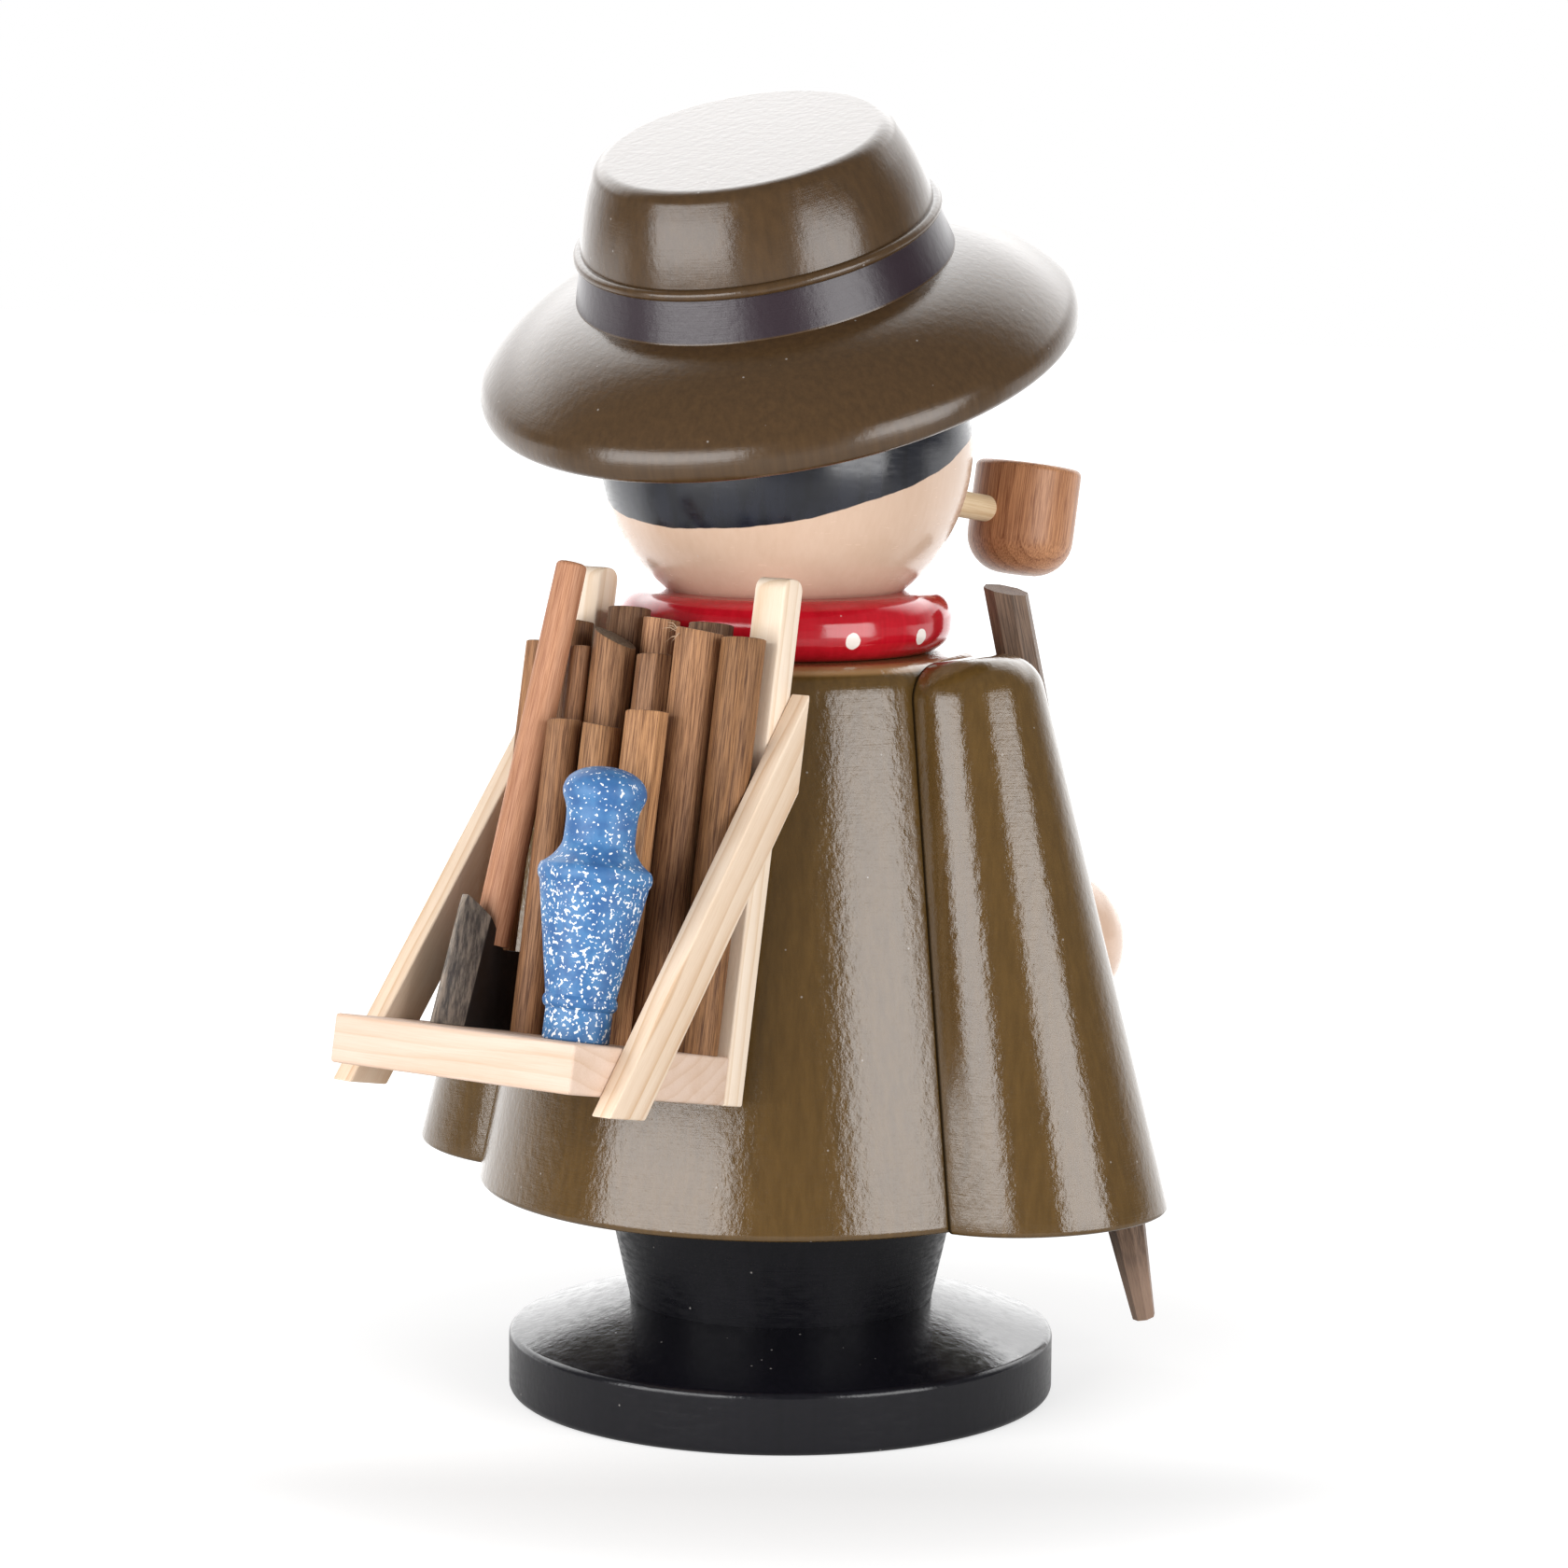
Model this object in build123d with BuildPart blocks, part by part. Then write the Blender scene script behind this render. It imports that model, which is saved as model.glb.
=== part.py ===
from build123d import *
import math
import os

# Turned wooden incense smoker: a wood gatherer with a loaded carrying frame.
# Millimetres, +Z up, origin at the centre of the base's underside. The figure faces -Y.

# Fits that every piece shares
glue_gap = 0.1          # glue line between pieces planed to each other
slip = 0.05             # radial play of dowels, pegs and the staff in its bore
lift_play = 0.3         # radial play of the coat on the round spigot
end_gap = 0.5           # air behind the end of a dowel or tenon
overrun = 6.0           # how far every cut runs past what it cuts

# Base disc
base_radius = 30.0
base_rim = 6.7
base_top = 10.5
base_round = 0.8

# Legs: one turned cone with a spigot that carries the coat and the dish
foot_radius = 16.7
leg_flare = 12.7        # degrees
shoulder_z = 27.0
spigot_radius = 12.7
spigot_height = 4.0
slot_count = 3
slot_width = 4.0
slot_depth = 2.0
leg_dowel_radius = 3.0
leg_dowel_length = 12.0

# Incense dish and its nail
dish_radius = 9.0
dish_height = 2.2
dish_sheet = 0.5
nail_radius = 0.8
nail_length = 6.0
nail_head_radius = 1.8
nail_head_height = 0.6

# Coat: a hollow cone
hem_z = 23.6
hem_radius = 33.4
coat_slope = 11.5       # degrees
coat_top = 82.0
coat_round = 3.0
hem_round = 0.6
chamber_wall_top = 62.0
drill_angle = 31.0      # degrees, half a drill point's flat angle
flue_radius = 2.3
socket_depth = 6.5

# Arms: turned cones beside the coat
arm_foot_out = 32.2
arm_foot_radius = 14.2
arm_head_out = 23.0
arm_head_radius = 7.45
arm_top = 82.3
arm_round = 4.4
arm_hem_tilt = 2.9      # degrees

# Hands and the staff in the right one
hand_radius = 8.3
hand_out = 22.9
hand_front = 18.3
hand_z = 49.5
staff_tip = (-28.6, -31.0, 5.5)
staff_head = (-20.4, -12.4, 88.6)
staff_radius = 2.35
staff_tip_radius = 1.3
staff_point = 13.0
staff_sides = 8
staff_slant = 20.0      # degrees
staff_cut_turn = 56.0   # degrees, the side that the cut falls to

# Neck ring and head
ring_radius = 18.1
ring_height = 6.5
ring_round = 2.9
head_radius = 20.2
head_rise = 15.6        # ring's top to the middle of the head
tenon_radius = 5.5
mouth_drop = 6.3
mouth_radius = 2.2
nose_radius = 2.6
nose_out_share = 0.35

# Hat: heights are measured from the flat it sits on, along its own leaning axis
hat_tilt = 21.5         # degrees, back
hat_turn = 6.4          # degrees, towards the right hand
hat_side = -0.93
hat_fore = -0.41
hat_seat = 15.6         # middle of the head to the flat
crown_height = 19.2
crown_radius = 15.7
crown_foot_radius = 18.9
crown_round = 2.6
crown_bow_shares = (0.58, 0.44)
bead_radius = 0.6
bead_height = 9.5
bead_ring_radius = 19.2
band_foot_radius = 20.4
band_foot_height = 4.5
brim_radius = 32.2
brim_drop = 3.6
brim_bow_shares = (0.6, 0.38)
brim_roll = 1.3
roll_bow_shares = (0.17, 1.67)
brim_under_shares = (0.58, 0.82)
hat_hollow_radius = 15.0
hat_dowel_radius = 2.0
hat_dowel_length = 12.0

# Pipe
pipe_turn = 14.0        # degrees, towards the right hand
pipe_fall = 9.5         # degrees
pipe_side = 4.7         # where the stem enters, beside the middle of the face
pipe_reach = 17.4       # head's surface to the middle of the bowl
stem_radius = 1.5
stem_in_head = 4.0
bowl_radius = 6.0
bowl_height = 12.5
bowl_rim = 5.7          # stem's axis to the rim
bowl_foot_radius = 1.6
bowl_round = 0.7
bowl_bore_radius = 2.45
bowl_bore_depth = 7.0
bowl_wall_left = 0.5

# Carrying frame. It leans like the coat's side, so its own axes are
# across (+X), out (away from the coat, -behind the shelf's rear face) and up along the posts.
shelf_z = 40.4          # where the shelf's middle plane meets the coat
board_width = 30.0
board_depth = 27.3
board_thick = 5.0
board_round = 0.35
post_width = 3.8
post_depth = 3.4
post_sink = 0.67        # how far the posts' front face stands past the coat's line
post_height = 49.6      # above the shelf's top
post_round = 1.3
left_post_inset = 2.7
strut_thick = 2.4
strut_top = 38.0        # above the shelf's top
strut_back = 4.0        # rear face of the shelf to the strut's rear edge, at its foot
strut_foot = 1.9        # below the shelf's underside
strut_run = 6.1         # length of its level cut at the foot
strut_skew = 1.2        # degrees, the left strut leans in
rail_height = 5.0

# Sticks, in shares of one stick's radius: across, out from the coat, and girth,
# then the length as a share of the load's height. The radius follows the shelf's width.
stick_share = 0.0767
load_height = 48.0
stick_shares = [
    (5.57, 2.67, 0.61, 0.852),
    (4.04, 2.01, 0.76, 0.906),
    (2.62, 3.49, 0.50, 0.844),
    (1.26, 2.80, 1.00, 0.871),
    (2.13, 0.75, 1.00, 0.946),
    (0.26, 0.75, 0.86, 0.927),
    (-2.48, 0.75, 1.04, 0.923),
    (-1.07, 2.80, 0.89, 0.840),
    (-3.30, 2.80, 1.09, 0.900),
    (-5.48, 2.45, 1.02, 0.890),
    (1.83, 5.14, 0.78, 0.677),
    (-0.27, 5.14, 0.89, 0.673),
    (-2.61, 5.14, 1.00, 0.710),
]
stick_sides = [0, 0, 0, 0, 0, 0, 0, 7, 0, 0, 0, 0, 8]               # 0 is a round stick
stick_slants = [4, -3, 6, -24, 3, -2, 2, 4, -5, 3, 5, -4, 3]        # degrees, the saw cut

# Axe
axe_out = 15.8          # rear face of the shelf to the handle's foot
axe_across = 9.5
handle_lean_in = 2.4
handle_lean_front = 4.4
handle_height = 49.0
handle_radius = 1.95
handle_top_radius = 1.6
handle_round = 0.5
handle_tenon_radius = 1.2
handle_tenon_length = 8.6
axe_thick = 3.8
axe_length = 11.7       # cutting edge's heel to the poll
axe_height = 13.5
axe_poll_height = 8.2
axe_back = 8.8          # rear face of the shelf to the heel
axe_edge_lean_share = 0.22
axe_tip_share = 0.27
axe_tip_drop_share = 0.09
axe_cheek_shares = (0.51, 0.82)
axe_waist_share = 0.71
bevel_length = 3.1
edge_land = 0.2

# Bottle, a solid turned flask: radii and heights as shares of its belly and its height
bottle_across = -8.05
bottle_out = 9.7
bottle_radius = 5.8
bottle_height = 27.7
bottle_foot_shares = (0.585, 0.115)
bottle_ring_shares = (0.655, 0.139)
bottle_waist_shares = (0.62, 0.164)
bottle_side_shares = (0.95, 0.572)
bottle_ridge_height_share = 0.602
bottle_brow_shares = (0.955, 0.634)
bottle_slope_shares = (0.735, 0.674)
bottle_collar_shares = (0.635, 0.712)
bottle_neck_shares = (0.62, 0.82)
bottle_bulb_shares = (0.73, 0.9)
bottle_dome_shares = (0.47, 0.979)

# Worked out from the sizes above
slope_tan = math.tan(math.radians(coat_slope))
spigot_top = shoulder_z + spigot_height
shoulder_radius = foot_radius + (shoulder_z - base_top) * math.tan(math.radians(leg_flare))
chamber_radius = spigot_radius + lift_play
recess_radius = shoulder_radius + 2 * lift_play
chamber_top = chamber_wall_top + chamber_radius * math.tan(math.radians(drill_angle))
coat_top_radius = hem_radius - (coat_top - hem_z) * slope_tan
neck_z = coat_top + ring_height
head_z = neck_z + head_rise
tenon_foot = coat_top - socket_depth + end_gap
mouth_z = head_z - mouth_drop

os.makedirs("parts", exist_ok=True)


def unit(turn, fall):
    """Direction that starts at -Y, turned towards -X and falling below the level."""
    across = math.radians(turn)
    down = math.radians(fall)
    return Vector(-math.sin(across) * math.cos(down), -math.cos(across) * math.cos(down), -math.sin(down))


def between(start, end, shares):
    """Point of an outline, at the given shares of the way from start to end."""
    return (
        start[0] + shares[0] * (end[0] - start[0]),
        start[1] + shares[1] * (end[1] - start[1]),
    )


# Base disc, with the dowel's hole
with BuildPart() as base_disc:
    with BuildSketch(Plane.XZ):
        with BuildLine():
            Polyline(
                (0, 0),
                (base_radius, 0),
                (base_radius, base_rim),
                (foot_radius, base_top),
                (0, base_top),
                close=True,
            )
        make_face()
    revolve(axis=Axis.Z)
    fillet(base_disc.edges().filter_by(GeomType.CIRCLE).group_by(SortBy.RADIUS)[-1], base_round)
    with BuildSketch(Plane.XY.offset(base_top)):
        Circle(leg_dowel_radius + slip)
    extrude(amount=-leg_dowel_length / 2 - end_gap, mode=Mode.SUBTRACT)
base_disc.part.label = "base_disc"
export_step(base_disc.part, "parts/base_disc.step")

# Legs, with air slots that run over the shoulder and up the spigot
with BuildPart() as legs:
    with BuildSketch(Plane.XZ):
        with BuildLine():
            Polyline(
                (0, base_top),
                (foot_radius, base_top),
                (shoulder_radius, shoulder_z),
                (spigot_radius, shoulder_z),
                (spigot_radius, spigot_top),
                (0, spigot_top),
                close=True,
            )
        make_face()
    revolve(axis=Axis.Z)
    with BuildSketch(Plane.XY.offset(shoulder_z - slot_depth)):
        with PolarLocations(spigot_radius - slot_depth, slot_count):
            Rectangle(shoulder_radius, slot_width, align=(Align.MIN, Align.CENTER))
    extrude(amount=slot_depth + spigot_height + overrun, mode=Mode.SUBTRACT)
    with BuildSketch(Plane.XY.offset(base_top)):
        Circle(leg_dowel_radius + slip)
    extrude(amount=leg_dowel_length / 2 + end_gap, mode=Mode.SUBTRACT)
    with BuildSketch(Plane.XY.offset(spigot_top)):
        Circle(nail_radius + slip)
    extrude(amount=-nail_length, mode=Mode.SUBTRACT)
legs.part.label = "legs"
export_step(legs.part, "parts/legs.step")

with BuildPart() as leg_dowel:
    with BuildSketch(Plane.XY.offset(base_top - leg_dowel_length / 2)):
        Circle(leg_dowel_radius)
    extrude(amount=leg_dowel_length)
leg_dowel.part.label = "leg_dowel"
export_step(leg_dowel.part, "parts/leg_dowel.step")

# Sheet metal dish, pressed with a turned-up rim
with BuildPart() as incense_dish:
    with BuildSketch(Plane.XY.offset(spigot_top)):
        Circle(dish_radius)
    extrude(amount=dish_height)
    offset(amount=-dish_sheet, openings=incense_dish.faces().sort_by(Axis.Z)[-1])
    with BuildSketch(Plane.XY.offset(spigot_top)):
        Circle(nail_radius + slip)
    extrude(amount=dish_height, mode=Mode.SUBTRACT)
incense_dish.part.label = "incense_dish"
export_step(incense_dish.part, "parts/incense_dish.step")

with BuildPart() as dish_nail:
    with BuildSketch(Plane.XY.offset(spigot_top + dish_sheet)):
        Circle(nail_head_radius)
    extrude(amount=nail_head_height)
    with BuildSketch(Plane.XY.offset(spigot_top + dish_sheet)):
        Circle(nail_radius)
    extrude(amount=end_gap - nail_length)
dish_nail.part.label = "dish_nail"
export_step(dish_nail.part, "parts/dish_nail.step")

# Coat: recess over the legs' shoulder, smoke chamber with a drilled top, flue and neck socket
with BuildPart() as coat_body:
    with BuildSketch(Plane.XZ):
        with BuildLine():
            Polyline(
                (0, hem_z),
                (hem_radius, hem_z),
                (coat_top_radius, coat_top),
                (0, coat_top),
                close=True,
            )
        make_face()
    revolve(axis=Axis.Z)
    fillet(coat_body.edges().sort_by(Axis.Z)[-1], coat_round)
    fillet(coat_body.edges().sort_by(Axis.Z)[0], hem_round)
    with BuildSketch(Plane.XZ):
        with BuildLine():
            Polyline(
                (0, hem_z - overrun),
                (recess_radius, hem_z - overrun),
                (recess_radius, shoulder_z),
                (chamber_radius, shoulder_z),
                (chamber_radius, chamber_wall_top),
                (0, chamber_top),
                close=True,
            )
        make_face()
    revolve(axis=Axis.Z, mode=Mode.SUBTRACT)
    with BuildSketch(Plane.XY.offset(chamber_wall_top)):
        Circle(flue_radius)
    extrude(amount=coat_top - chamber_wall_top, mode=Mode.SUBTRACT)
    with BuildSketch(Plane.XY.offset(coat_top)):
        Circle(tenon_radius + slip)
    extrude(amount=-socket_depth, mode=Mode.SUBTRACT)
coat_body.part.label = "coat_body"
export_step(coat_body.part, "parts/coat_body.step")

# The coat's outer cone with the glue line, which shapes the pieces glued to it
with BuildPart() as coat_skin:
    with BuildSketch(Plane.XZ):
        with BuildLine():
            Polyline(
                (0, hem_z - overrun),
                (hem_radius + glue_gap + overrun * slope_tan, hem_z - overrun),
                (coat_top_radius + glue_gap, coat_top),
                (0, coat_top),
                close=True,
            )
        make_face()
    revolve(axis=Axis.Z)


arm_line = Vector(arm_foot_out - arm_head_out, 0, arm_top - hem_z)
arm_foot = Vector(-arm_foot_out, 0, hem_z)
arm_section = Plane(origin=arm_foot, x_dir=(arm_line.Z, 0, -arm_line.X), z_dir=(0, -1, 0))
arm_taper = (arm_foot_radius - arm_head_radius) / arm_line.length
arm_hem_rad = math.radians(arm_hem_tilt)
arm_hem = Plane(origin=arm_foot, z_dir=(math.sin(arm_hem_rad), 0, math.cos(arm_hem_rad)))


def arm_cone(grow):
    """The right arm as it comes off the lathe, wider all round by grow."""
    with BuildPart() as cone:
        with BuildSketch(arm_section):
            with BuildLine():
                Polyline(
                    (0, -overrun),
                    (arm_foot_radius + grow + overrun * arm_taper, -overrun),
                    (arm_head_radius + grow, arm_line.length + grow),
                    (0, arm_line.length + grow),
                    close=True,
                )
            make_face()
        revolve(axis=Axis(arm_foot, arm_line))
        split(bisect_by=arm_hem, keep=Keep.TOP)
        fillet(cone.edges().sort_by(Axis.Z)[-1], arm_round)
        fillet(cone.edges().sort_by(Axis.Z)[0], hem_round)
    return cone.part


plain_arm = arm_cone(0)
arm_skin = arm_cone(glue_gap)

with BuildPart() as right_arm:
    add(plain_arm)
    add(coat_skin.part, mode=Mode.SUBTRACT)
right_arm.part.label = "right_arm"
export_step(right_arm.part, "parts/right_arm.step")

with BuildPart() as left_arm:
    mirror(right_arm.part, about=Plane.YZ)
left_arm.part.label = "left_arm"
export_step(left_arm.part, "parts/left_arm.step")

# Staff: a whittled rod, cut to a point below and slantwise above
staff_line = Vector(*staff_head) - Vector(*staff_tip)
staff_plane = Plane(origin=staff_tip, z_dir=staff_line)
staff_slant_rad = math.radians(staff_slant)
staff_cut = Plane(
    origin=staff_head,
    z_dir=staff_line.normalized() * math.cos(staff_slant_rad) + unit(staff_cut_turn, 0) * math.sin(staff_slant_rad),
)
with BuildPart() as staff:
    with BuildSketch(staff_plane):
        RegularPolygon(staff_tip_radius, staff_sides)
    with BuildSketch(staff_plane.offset(staff_point)):
        RegularPolygon(staff_radius, staff_sides)
    loft(ruled=True)
    with BuildSketch(staff_plane.offset(staff_point)):
        RegularPolygon(staff_radius, staff_sides)
    extrude(amount=staff_line.length - staff_point + staff_radius)
    split(bisect_by=staff_cut, keep=Keep.BOTTOM)
staff.part.label = "staff"
export_step(staff.part, "parts/staff.step")

# Hands: balls dished to the coat and the arm, the right one bored for the staff
with BuildPart() as left_hand:
    with Locations((hand_out, -hand_front, hand_z)):
        Sphere(hand_radius)
    add(coat_skin.part, mode=Mode.SUBTRACT)
    mirror(arm_skin, about=Plane.YZ, mode=Mode.SUBTRACT)
left_hand.part.label = "left_hand"
export_step(left_hand.part, "parts/left_hand.step")

with BuildPart() as right_hand:
    mirror(left_hand.part, about=Plane.YZ)
    with BuildSketch(staff_plane):
        Circle(staff_radius + slip)
    extrude(amount=staff_line.length, mode=Mode.SUBTRACT)
right_hand.part.label = "right_hand"
export_step(right_hand.part, "parts/right_hand.step")

# Neck ring
with BuildPart() as scarf_ring:
    with BuildSketch(Plane.XY.offset(coat_top)):
        Circle(ring_radius)
    extrude(amount=ring_height)
    fillet(scarf_ring.edges().filter_by(GeomType.CIRCLE), ring_round)
    with BuildSketch(Plane.XY.offset(coat_top)):
        Circle(tenon_radius + slip)
    extrude(amount=ring_height, mode=Mode.SUBTRACT)
scarf_ring.part.label = "scarf_ring"
export_step(scarf_ring.part, "parts/scarf_ring.step")

# Planes of the head's pieces
hat_turn_rad = math.radians(hat_turn)
hat_tilt_rad = math.radians(hat_tilt)
hat_axis = Vector(
    -math.sin(hat_turn_rad) * math.sin(hat_tilt_rad),
    math.cos(hat_turn_rad) * math.sin(hat_tilt_rad),
    math.cos(hat_tilt_rad),
)
hat_across = Vector(math.cos(hat_turn_rad), math.sin(hat_turn_rad), 0)
hat_plane = Plane(origin=(0, 0, head_z), x_dir=hat_across, z_dir=hat_axis)
seat_plane = Plane(
    origin=hat_plane.from_local_coords((hat_side, hat_fore, hat_seat)),
    x_dir=hat_across,
    z_dir=hat_axis,
)
pipe_line = unit(pipe_turn, pipe_fall)
head_slice = math.sqrt(head_radius**2 - mouth_drop**2 - pipe_side**2)
pipe_root = Vector(-pipe_side, -head_slice, mouth_z)
stem_plane = Plane(origin=pipe_root - pipe_line * stem_in_head, z_dir=pipe_line)

# Head: a ball flattened under the hat and above the ring, with a hollow tenon and the mouth's bore
with BuildPart() as head:
    with Locations((0, 0, head_z)):
        Sphere(head_radius)
    split(bisect_by=Plane.XY.offset(neck_z), keep=Keep.TOP)
    split(bisect_by=seat_plane, keep=Keep.BOTTOM)
    with BuildSketch(Plane.XY.offset(tenon_foot)):
        Circle(tenon_radius)
    extrude(amount=neck_z - tenon_foot)
    with BuildSketch(Plane.XY.offset(tenon_foot)):
        Circle(flue_radius)
    extrude(amount=mouth_z + flue_radius - tenon_foot, mode=Mode.SUBTRACT)
    with BuildSketch(Plane.XZ):
        with Locations((0, mouth_z)):
            Circle(mouth_radius)
    extrude(amount=head_radius + overrun, mode=Mode.SUBTRACT)
    with BuildSketch(stem_plane):
        Circle(stem_radius + slip)
    extrude(amount=stem_in_head + overrun, mode=Mode.SUBTRACT)
    with BuildSketch(seat_plane):
        Circle(hat_dowel_radius + slip)
    extrude(amount=-hat_dowel_length / 2 - end_gap, mode=Mode.SUBTRACT)
head.part.label = "head"
export_step(head.part, "parts/head.step")

with BuildPart() as nose:
    with Locations((0, -head_radius - nose_out_share * nose_radius, head_z)):
        Sphere(nose_radius)
    with Locations((0, 0, head_z)):
        Sphere(head_radius + glue_gap, mode=Mode.SUBTRACT)
nose.part.label = "nose"
export_step(nose.part, "parts/nose.step")

# Hat: crown, bead and drooping brim turned as one, hollow under the brim
crown_foot = (crown_foot_radius, bead_height + bead_radius)
crown_edge = (crown_radius, crown_height)
brim_start = (band_foot_radius, band_foot_height)
brim_edge = (brim_radius, -brim_drop)
roll_end = (brim_radius - 2 * brim_roll, -brim_drop - brim_roll)
hollow_edge = (hat_hollow_radius, 0)
hat_section = Plane(origin=seat_plane.origin, x_dir=hat_across, z_dir=-seat_plane.y_dir)
with BuildPart() as hat:
    with BuildSketch(hat_section):
        with BuildLine():
            Line((0, 0), (0, crown_height))
            Line((0, crown_height), crown_edge)
            ThreePointArc(crown_edge, between(crown_edge, crown_foot, crown_bow_shares), crown_foot)
            Line(crown_foot, (bead_ring_radius, bead_height + bead_radius))
            ThreePointArc(
                (bead_ring_radius, bead_height + bead_radius),
                (bead_ring_radius + bead_radius, bead_height),
                (bead_ring_radius, bead_height - bead_radius),
            )
            Line((bead_ring_radius, bead_height - bead_radius), brim_start)
            ThreePointArc(brim_start, between(brim_start, brim_edge, brim_bow_shares), brim_edge)
            ThreePointArc(brim_edge, between(brim_edge, roll_end, roll_bow_shares), roll_end)
            ThreePointArc(roll_end, between(roll_end, hollow_edge, brim_under_shares), hollow_edge)
            Line(hollow_edge, (0, 0))
        make_face()
    revolve(axis=Axis(seat_plane.origin, hat_axis))
    fillet(hat.edges().sort_by(Axis(seat_plane.origin, hat_axis))[-1], crown_round)
    with BuildSketch(seat_plane):
        Circle(hat_dowel_radius + slip)
    extrude(amount=hat_dowel_length / 2 + end_gap, mode=Mode.SUBTRACT)
hat.part.label = "hat"
export_step(hat.part, "parts/hat.step")

with BuildPart() as hat_dowel:
    with BuildSketch(seat_plane.offset(-hat_dowel_length / 2)):
        Circle(hat_dowel_radius)
    extrude(amount=hat_dowel_length)
hat_dowel.part.label = "hat_dowel"
export_step(hat_dowel.part, "parts/hat_dowel.step")

# Pipe: the bowl stands square to the stem
bowl_hole_depth = bowl_radius - bowl_bore_radius - bowl_wall_left
bowl_up = unit(pipe_turn, pipe_fall - 90)
bowl_centre = pipe_root + pipe_line * pipe_reach
bowl_section = Plane(origin=bowl_centre, x_dir=pipe_line, z_dir=pipe_line.cross(bowl_up))
with BuildPart() as pipe_bowl:
    with BuildSketch(bowl_section):
        with BuildLine():
            bowl_foot = bowl_rim - bowl_height
            Line((0, bowl_rim), (0, bowl_foot))
            Line((0, bowl_foot), (bowl_foot_radius, bowl_foot))
            JernArc((bowl_foot_radius, bowl_foot), (1, 0), bowl_radius - bowl_foot_radius, 90)
            Line((bowl_radius, bowl_foot + bowl_radius - bowl_foot_radius), (bowl_radius, bowl_rim))
            Line((bowl_radius, bowl_rim), (0, bowl_rim))
        make_face()
    revolve(axis=Axis(bowl_centre, bowl_up))
    fillet(pipe_bowl.edges().sort_by(Axis(bowl_centre, bowl_up))[-1], bowl_round)
    with BuildSketch(Plane(origin=bowl_centre + bowl_up * bowl_rim, z_dir=-bowl_up)):
        Circle(bowl_bore_radius)
    extrude(amount=bowl_bore_depth, mode=Mode.SUBTRACT)
    with BuildSketch(Plane(origin=bowl_centre - pipe_line * (bowl_radius - bowl_hole_depth), z_dir=-pipe_line)):
        Circle(stem_radius + slip)
    extrude(amount=bowl_hole_depth + overrun, mode=Mode.SUBTRACT)
pipe_bowl.part.label = "pipe_bowl"
export_step(pipe_bowl.part, "parts/pipe_bowl.step")

with BuildPart() as pipe_stem:
    with BuildSketch(stem_plane):
        Circle(stem_radius)
    extrude(amount=stem_in_head + pipe_reach - bowl_radius + bowl_hole_depth)
pipe_stem.part.label = "pipe_stem"
export_step(pipe_stem.part, "parts/pipe_stem.step")

# Carrying frame: its plane stands on the middle of the shelf's rear face
half_width = board_width / 2
half_thick = board_thick / 2
coat_out = -(board_depth + post_depth - post_sink)
post_front = -(board_depth + post_depth)
frame_lean = math.radians(coat_slope)
out_line = Vector(0, math.cos(frame_lean), math.sin(frame_lean))
up_line = Vector(0, -math.sin(frame_lean), math.cos(frame_lean))
shelf_root = Vector(0, hem_radius - (shelf_z - hem_z) * slope_tan, shelf_z)
frame_plane = Plane(origin=shelf_root - out_line * coat_out, x_dir=(1, 0, 0), z_dir=up_line)
shelf_top_plane = frame_plane.offset(half_thick)

with BuildPart() as shelf_board:
    with BuildSketch(frame_plane.offset(-half_thick)):
        Rectangle(board_width, board_depth, align=(Align.CENTER, Align.MAX))
    extrude(amount=board_thick)
    fillet(shelf_board.edges(), board_round)
shelf_board.part.label = "shelf_board"
export_step(shelf_board.part, "parts/shelf_board.step")


def post(across):
    """Upright lath whose lower X face stands at across."""
    with BuildPart() as lath:
        with BuildSketch(frame_plane.offset(-half_thick)):
            with Locations((across, post_front)):
                Rectangle(post_width, post_depth, align=(Align.MIN, Align.MIN))
        extrude(amount=board_thick + post_height)
        top_edges = lath.faces().sort_by(Axis(frame_plane.origin, up_line))[-1].edges()
        fillet(top_edges, post_round)
    return lath


right_post = post(-half_width)
right_post.part.label = "right_post"
export_step(right_post.part, "parts/right_post.step")

left_post = post(half_width - left_post_inset - post_width)
left_post.part.label = "left_post"
export_step(left_post.part, "parts/left_post.step")

# Rail between the posts: it is dished to the coat and carries the glue
with BuildPart() as cross_rail:
    rail_start = post_width - half_width
    rail_end = half_width - left_post_inset - post_width
    with BuildSketch(frame_plane.offset(half_thick - rail_height)):
        with Locations((rail_start, post_front)):
            Rectangle(rail_end - rail_start, post_depth, align=(Align.MIN, Align.MIN))
    extrude(amount=rail_height)
    add(coat_skin.part, mode=Mode.SUBTRACT)
cross_rail.part.label = "cross_rail"
export_step(cross_rail.part, "parts/cross_rail.step")


def strut(side, skew):
    """Diagonal lath outside the shelf's end, from the post's front down to the shelf's foot."""
    lean = math.radians(skew)
    facing = Vector(math.cos(lean), 0, 0) + up_line * math.sin(lean)
    corner = frame_plane.from_local_coords((side * half_width, 0, half_thick))
    foot = -board_thick - strut_foot
    slope = (strut_top - foot) / (-strut_back - post_front)
    with BuildPart() as lath:
        with BuildSketch(Plane(origin=corner, x_dir=out_line, z_dir=facing)):
            with BuildLine():
                Polyline(
                    (post_front, strut_top),
                    (-strut_back, foot),
                    (-strut_back - strut_run, foot),
                    (post_front, strut_top - slope * strut_run),
                    close=True,
                )
            make_face()
        extrude(amount=side * strut_thick)
    return lath


right_strut = strut(-1, 0)
right_strut.part.label = "right_strut"
export_step(right_strut.part, "parts/right_strut.step")

left_strut = strut(1, strut_skew)
left_strut.part.label = "left_strut"
export_step(left_strut.part, "parts/left_strut.step")

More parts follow.
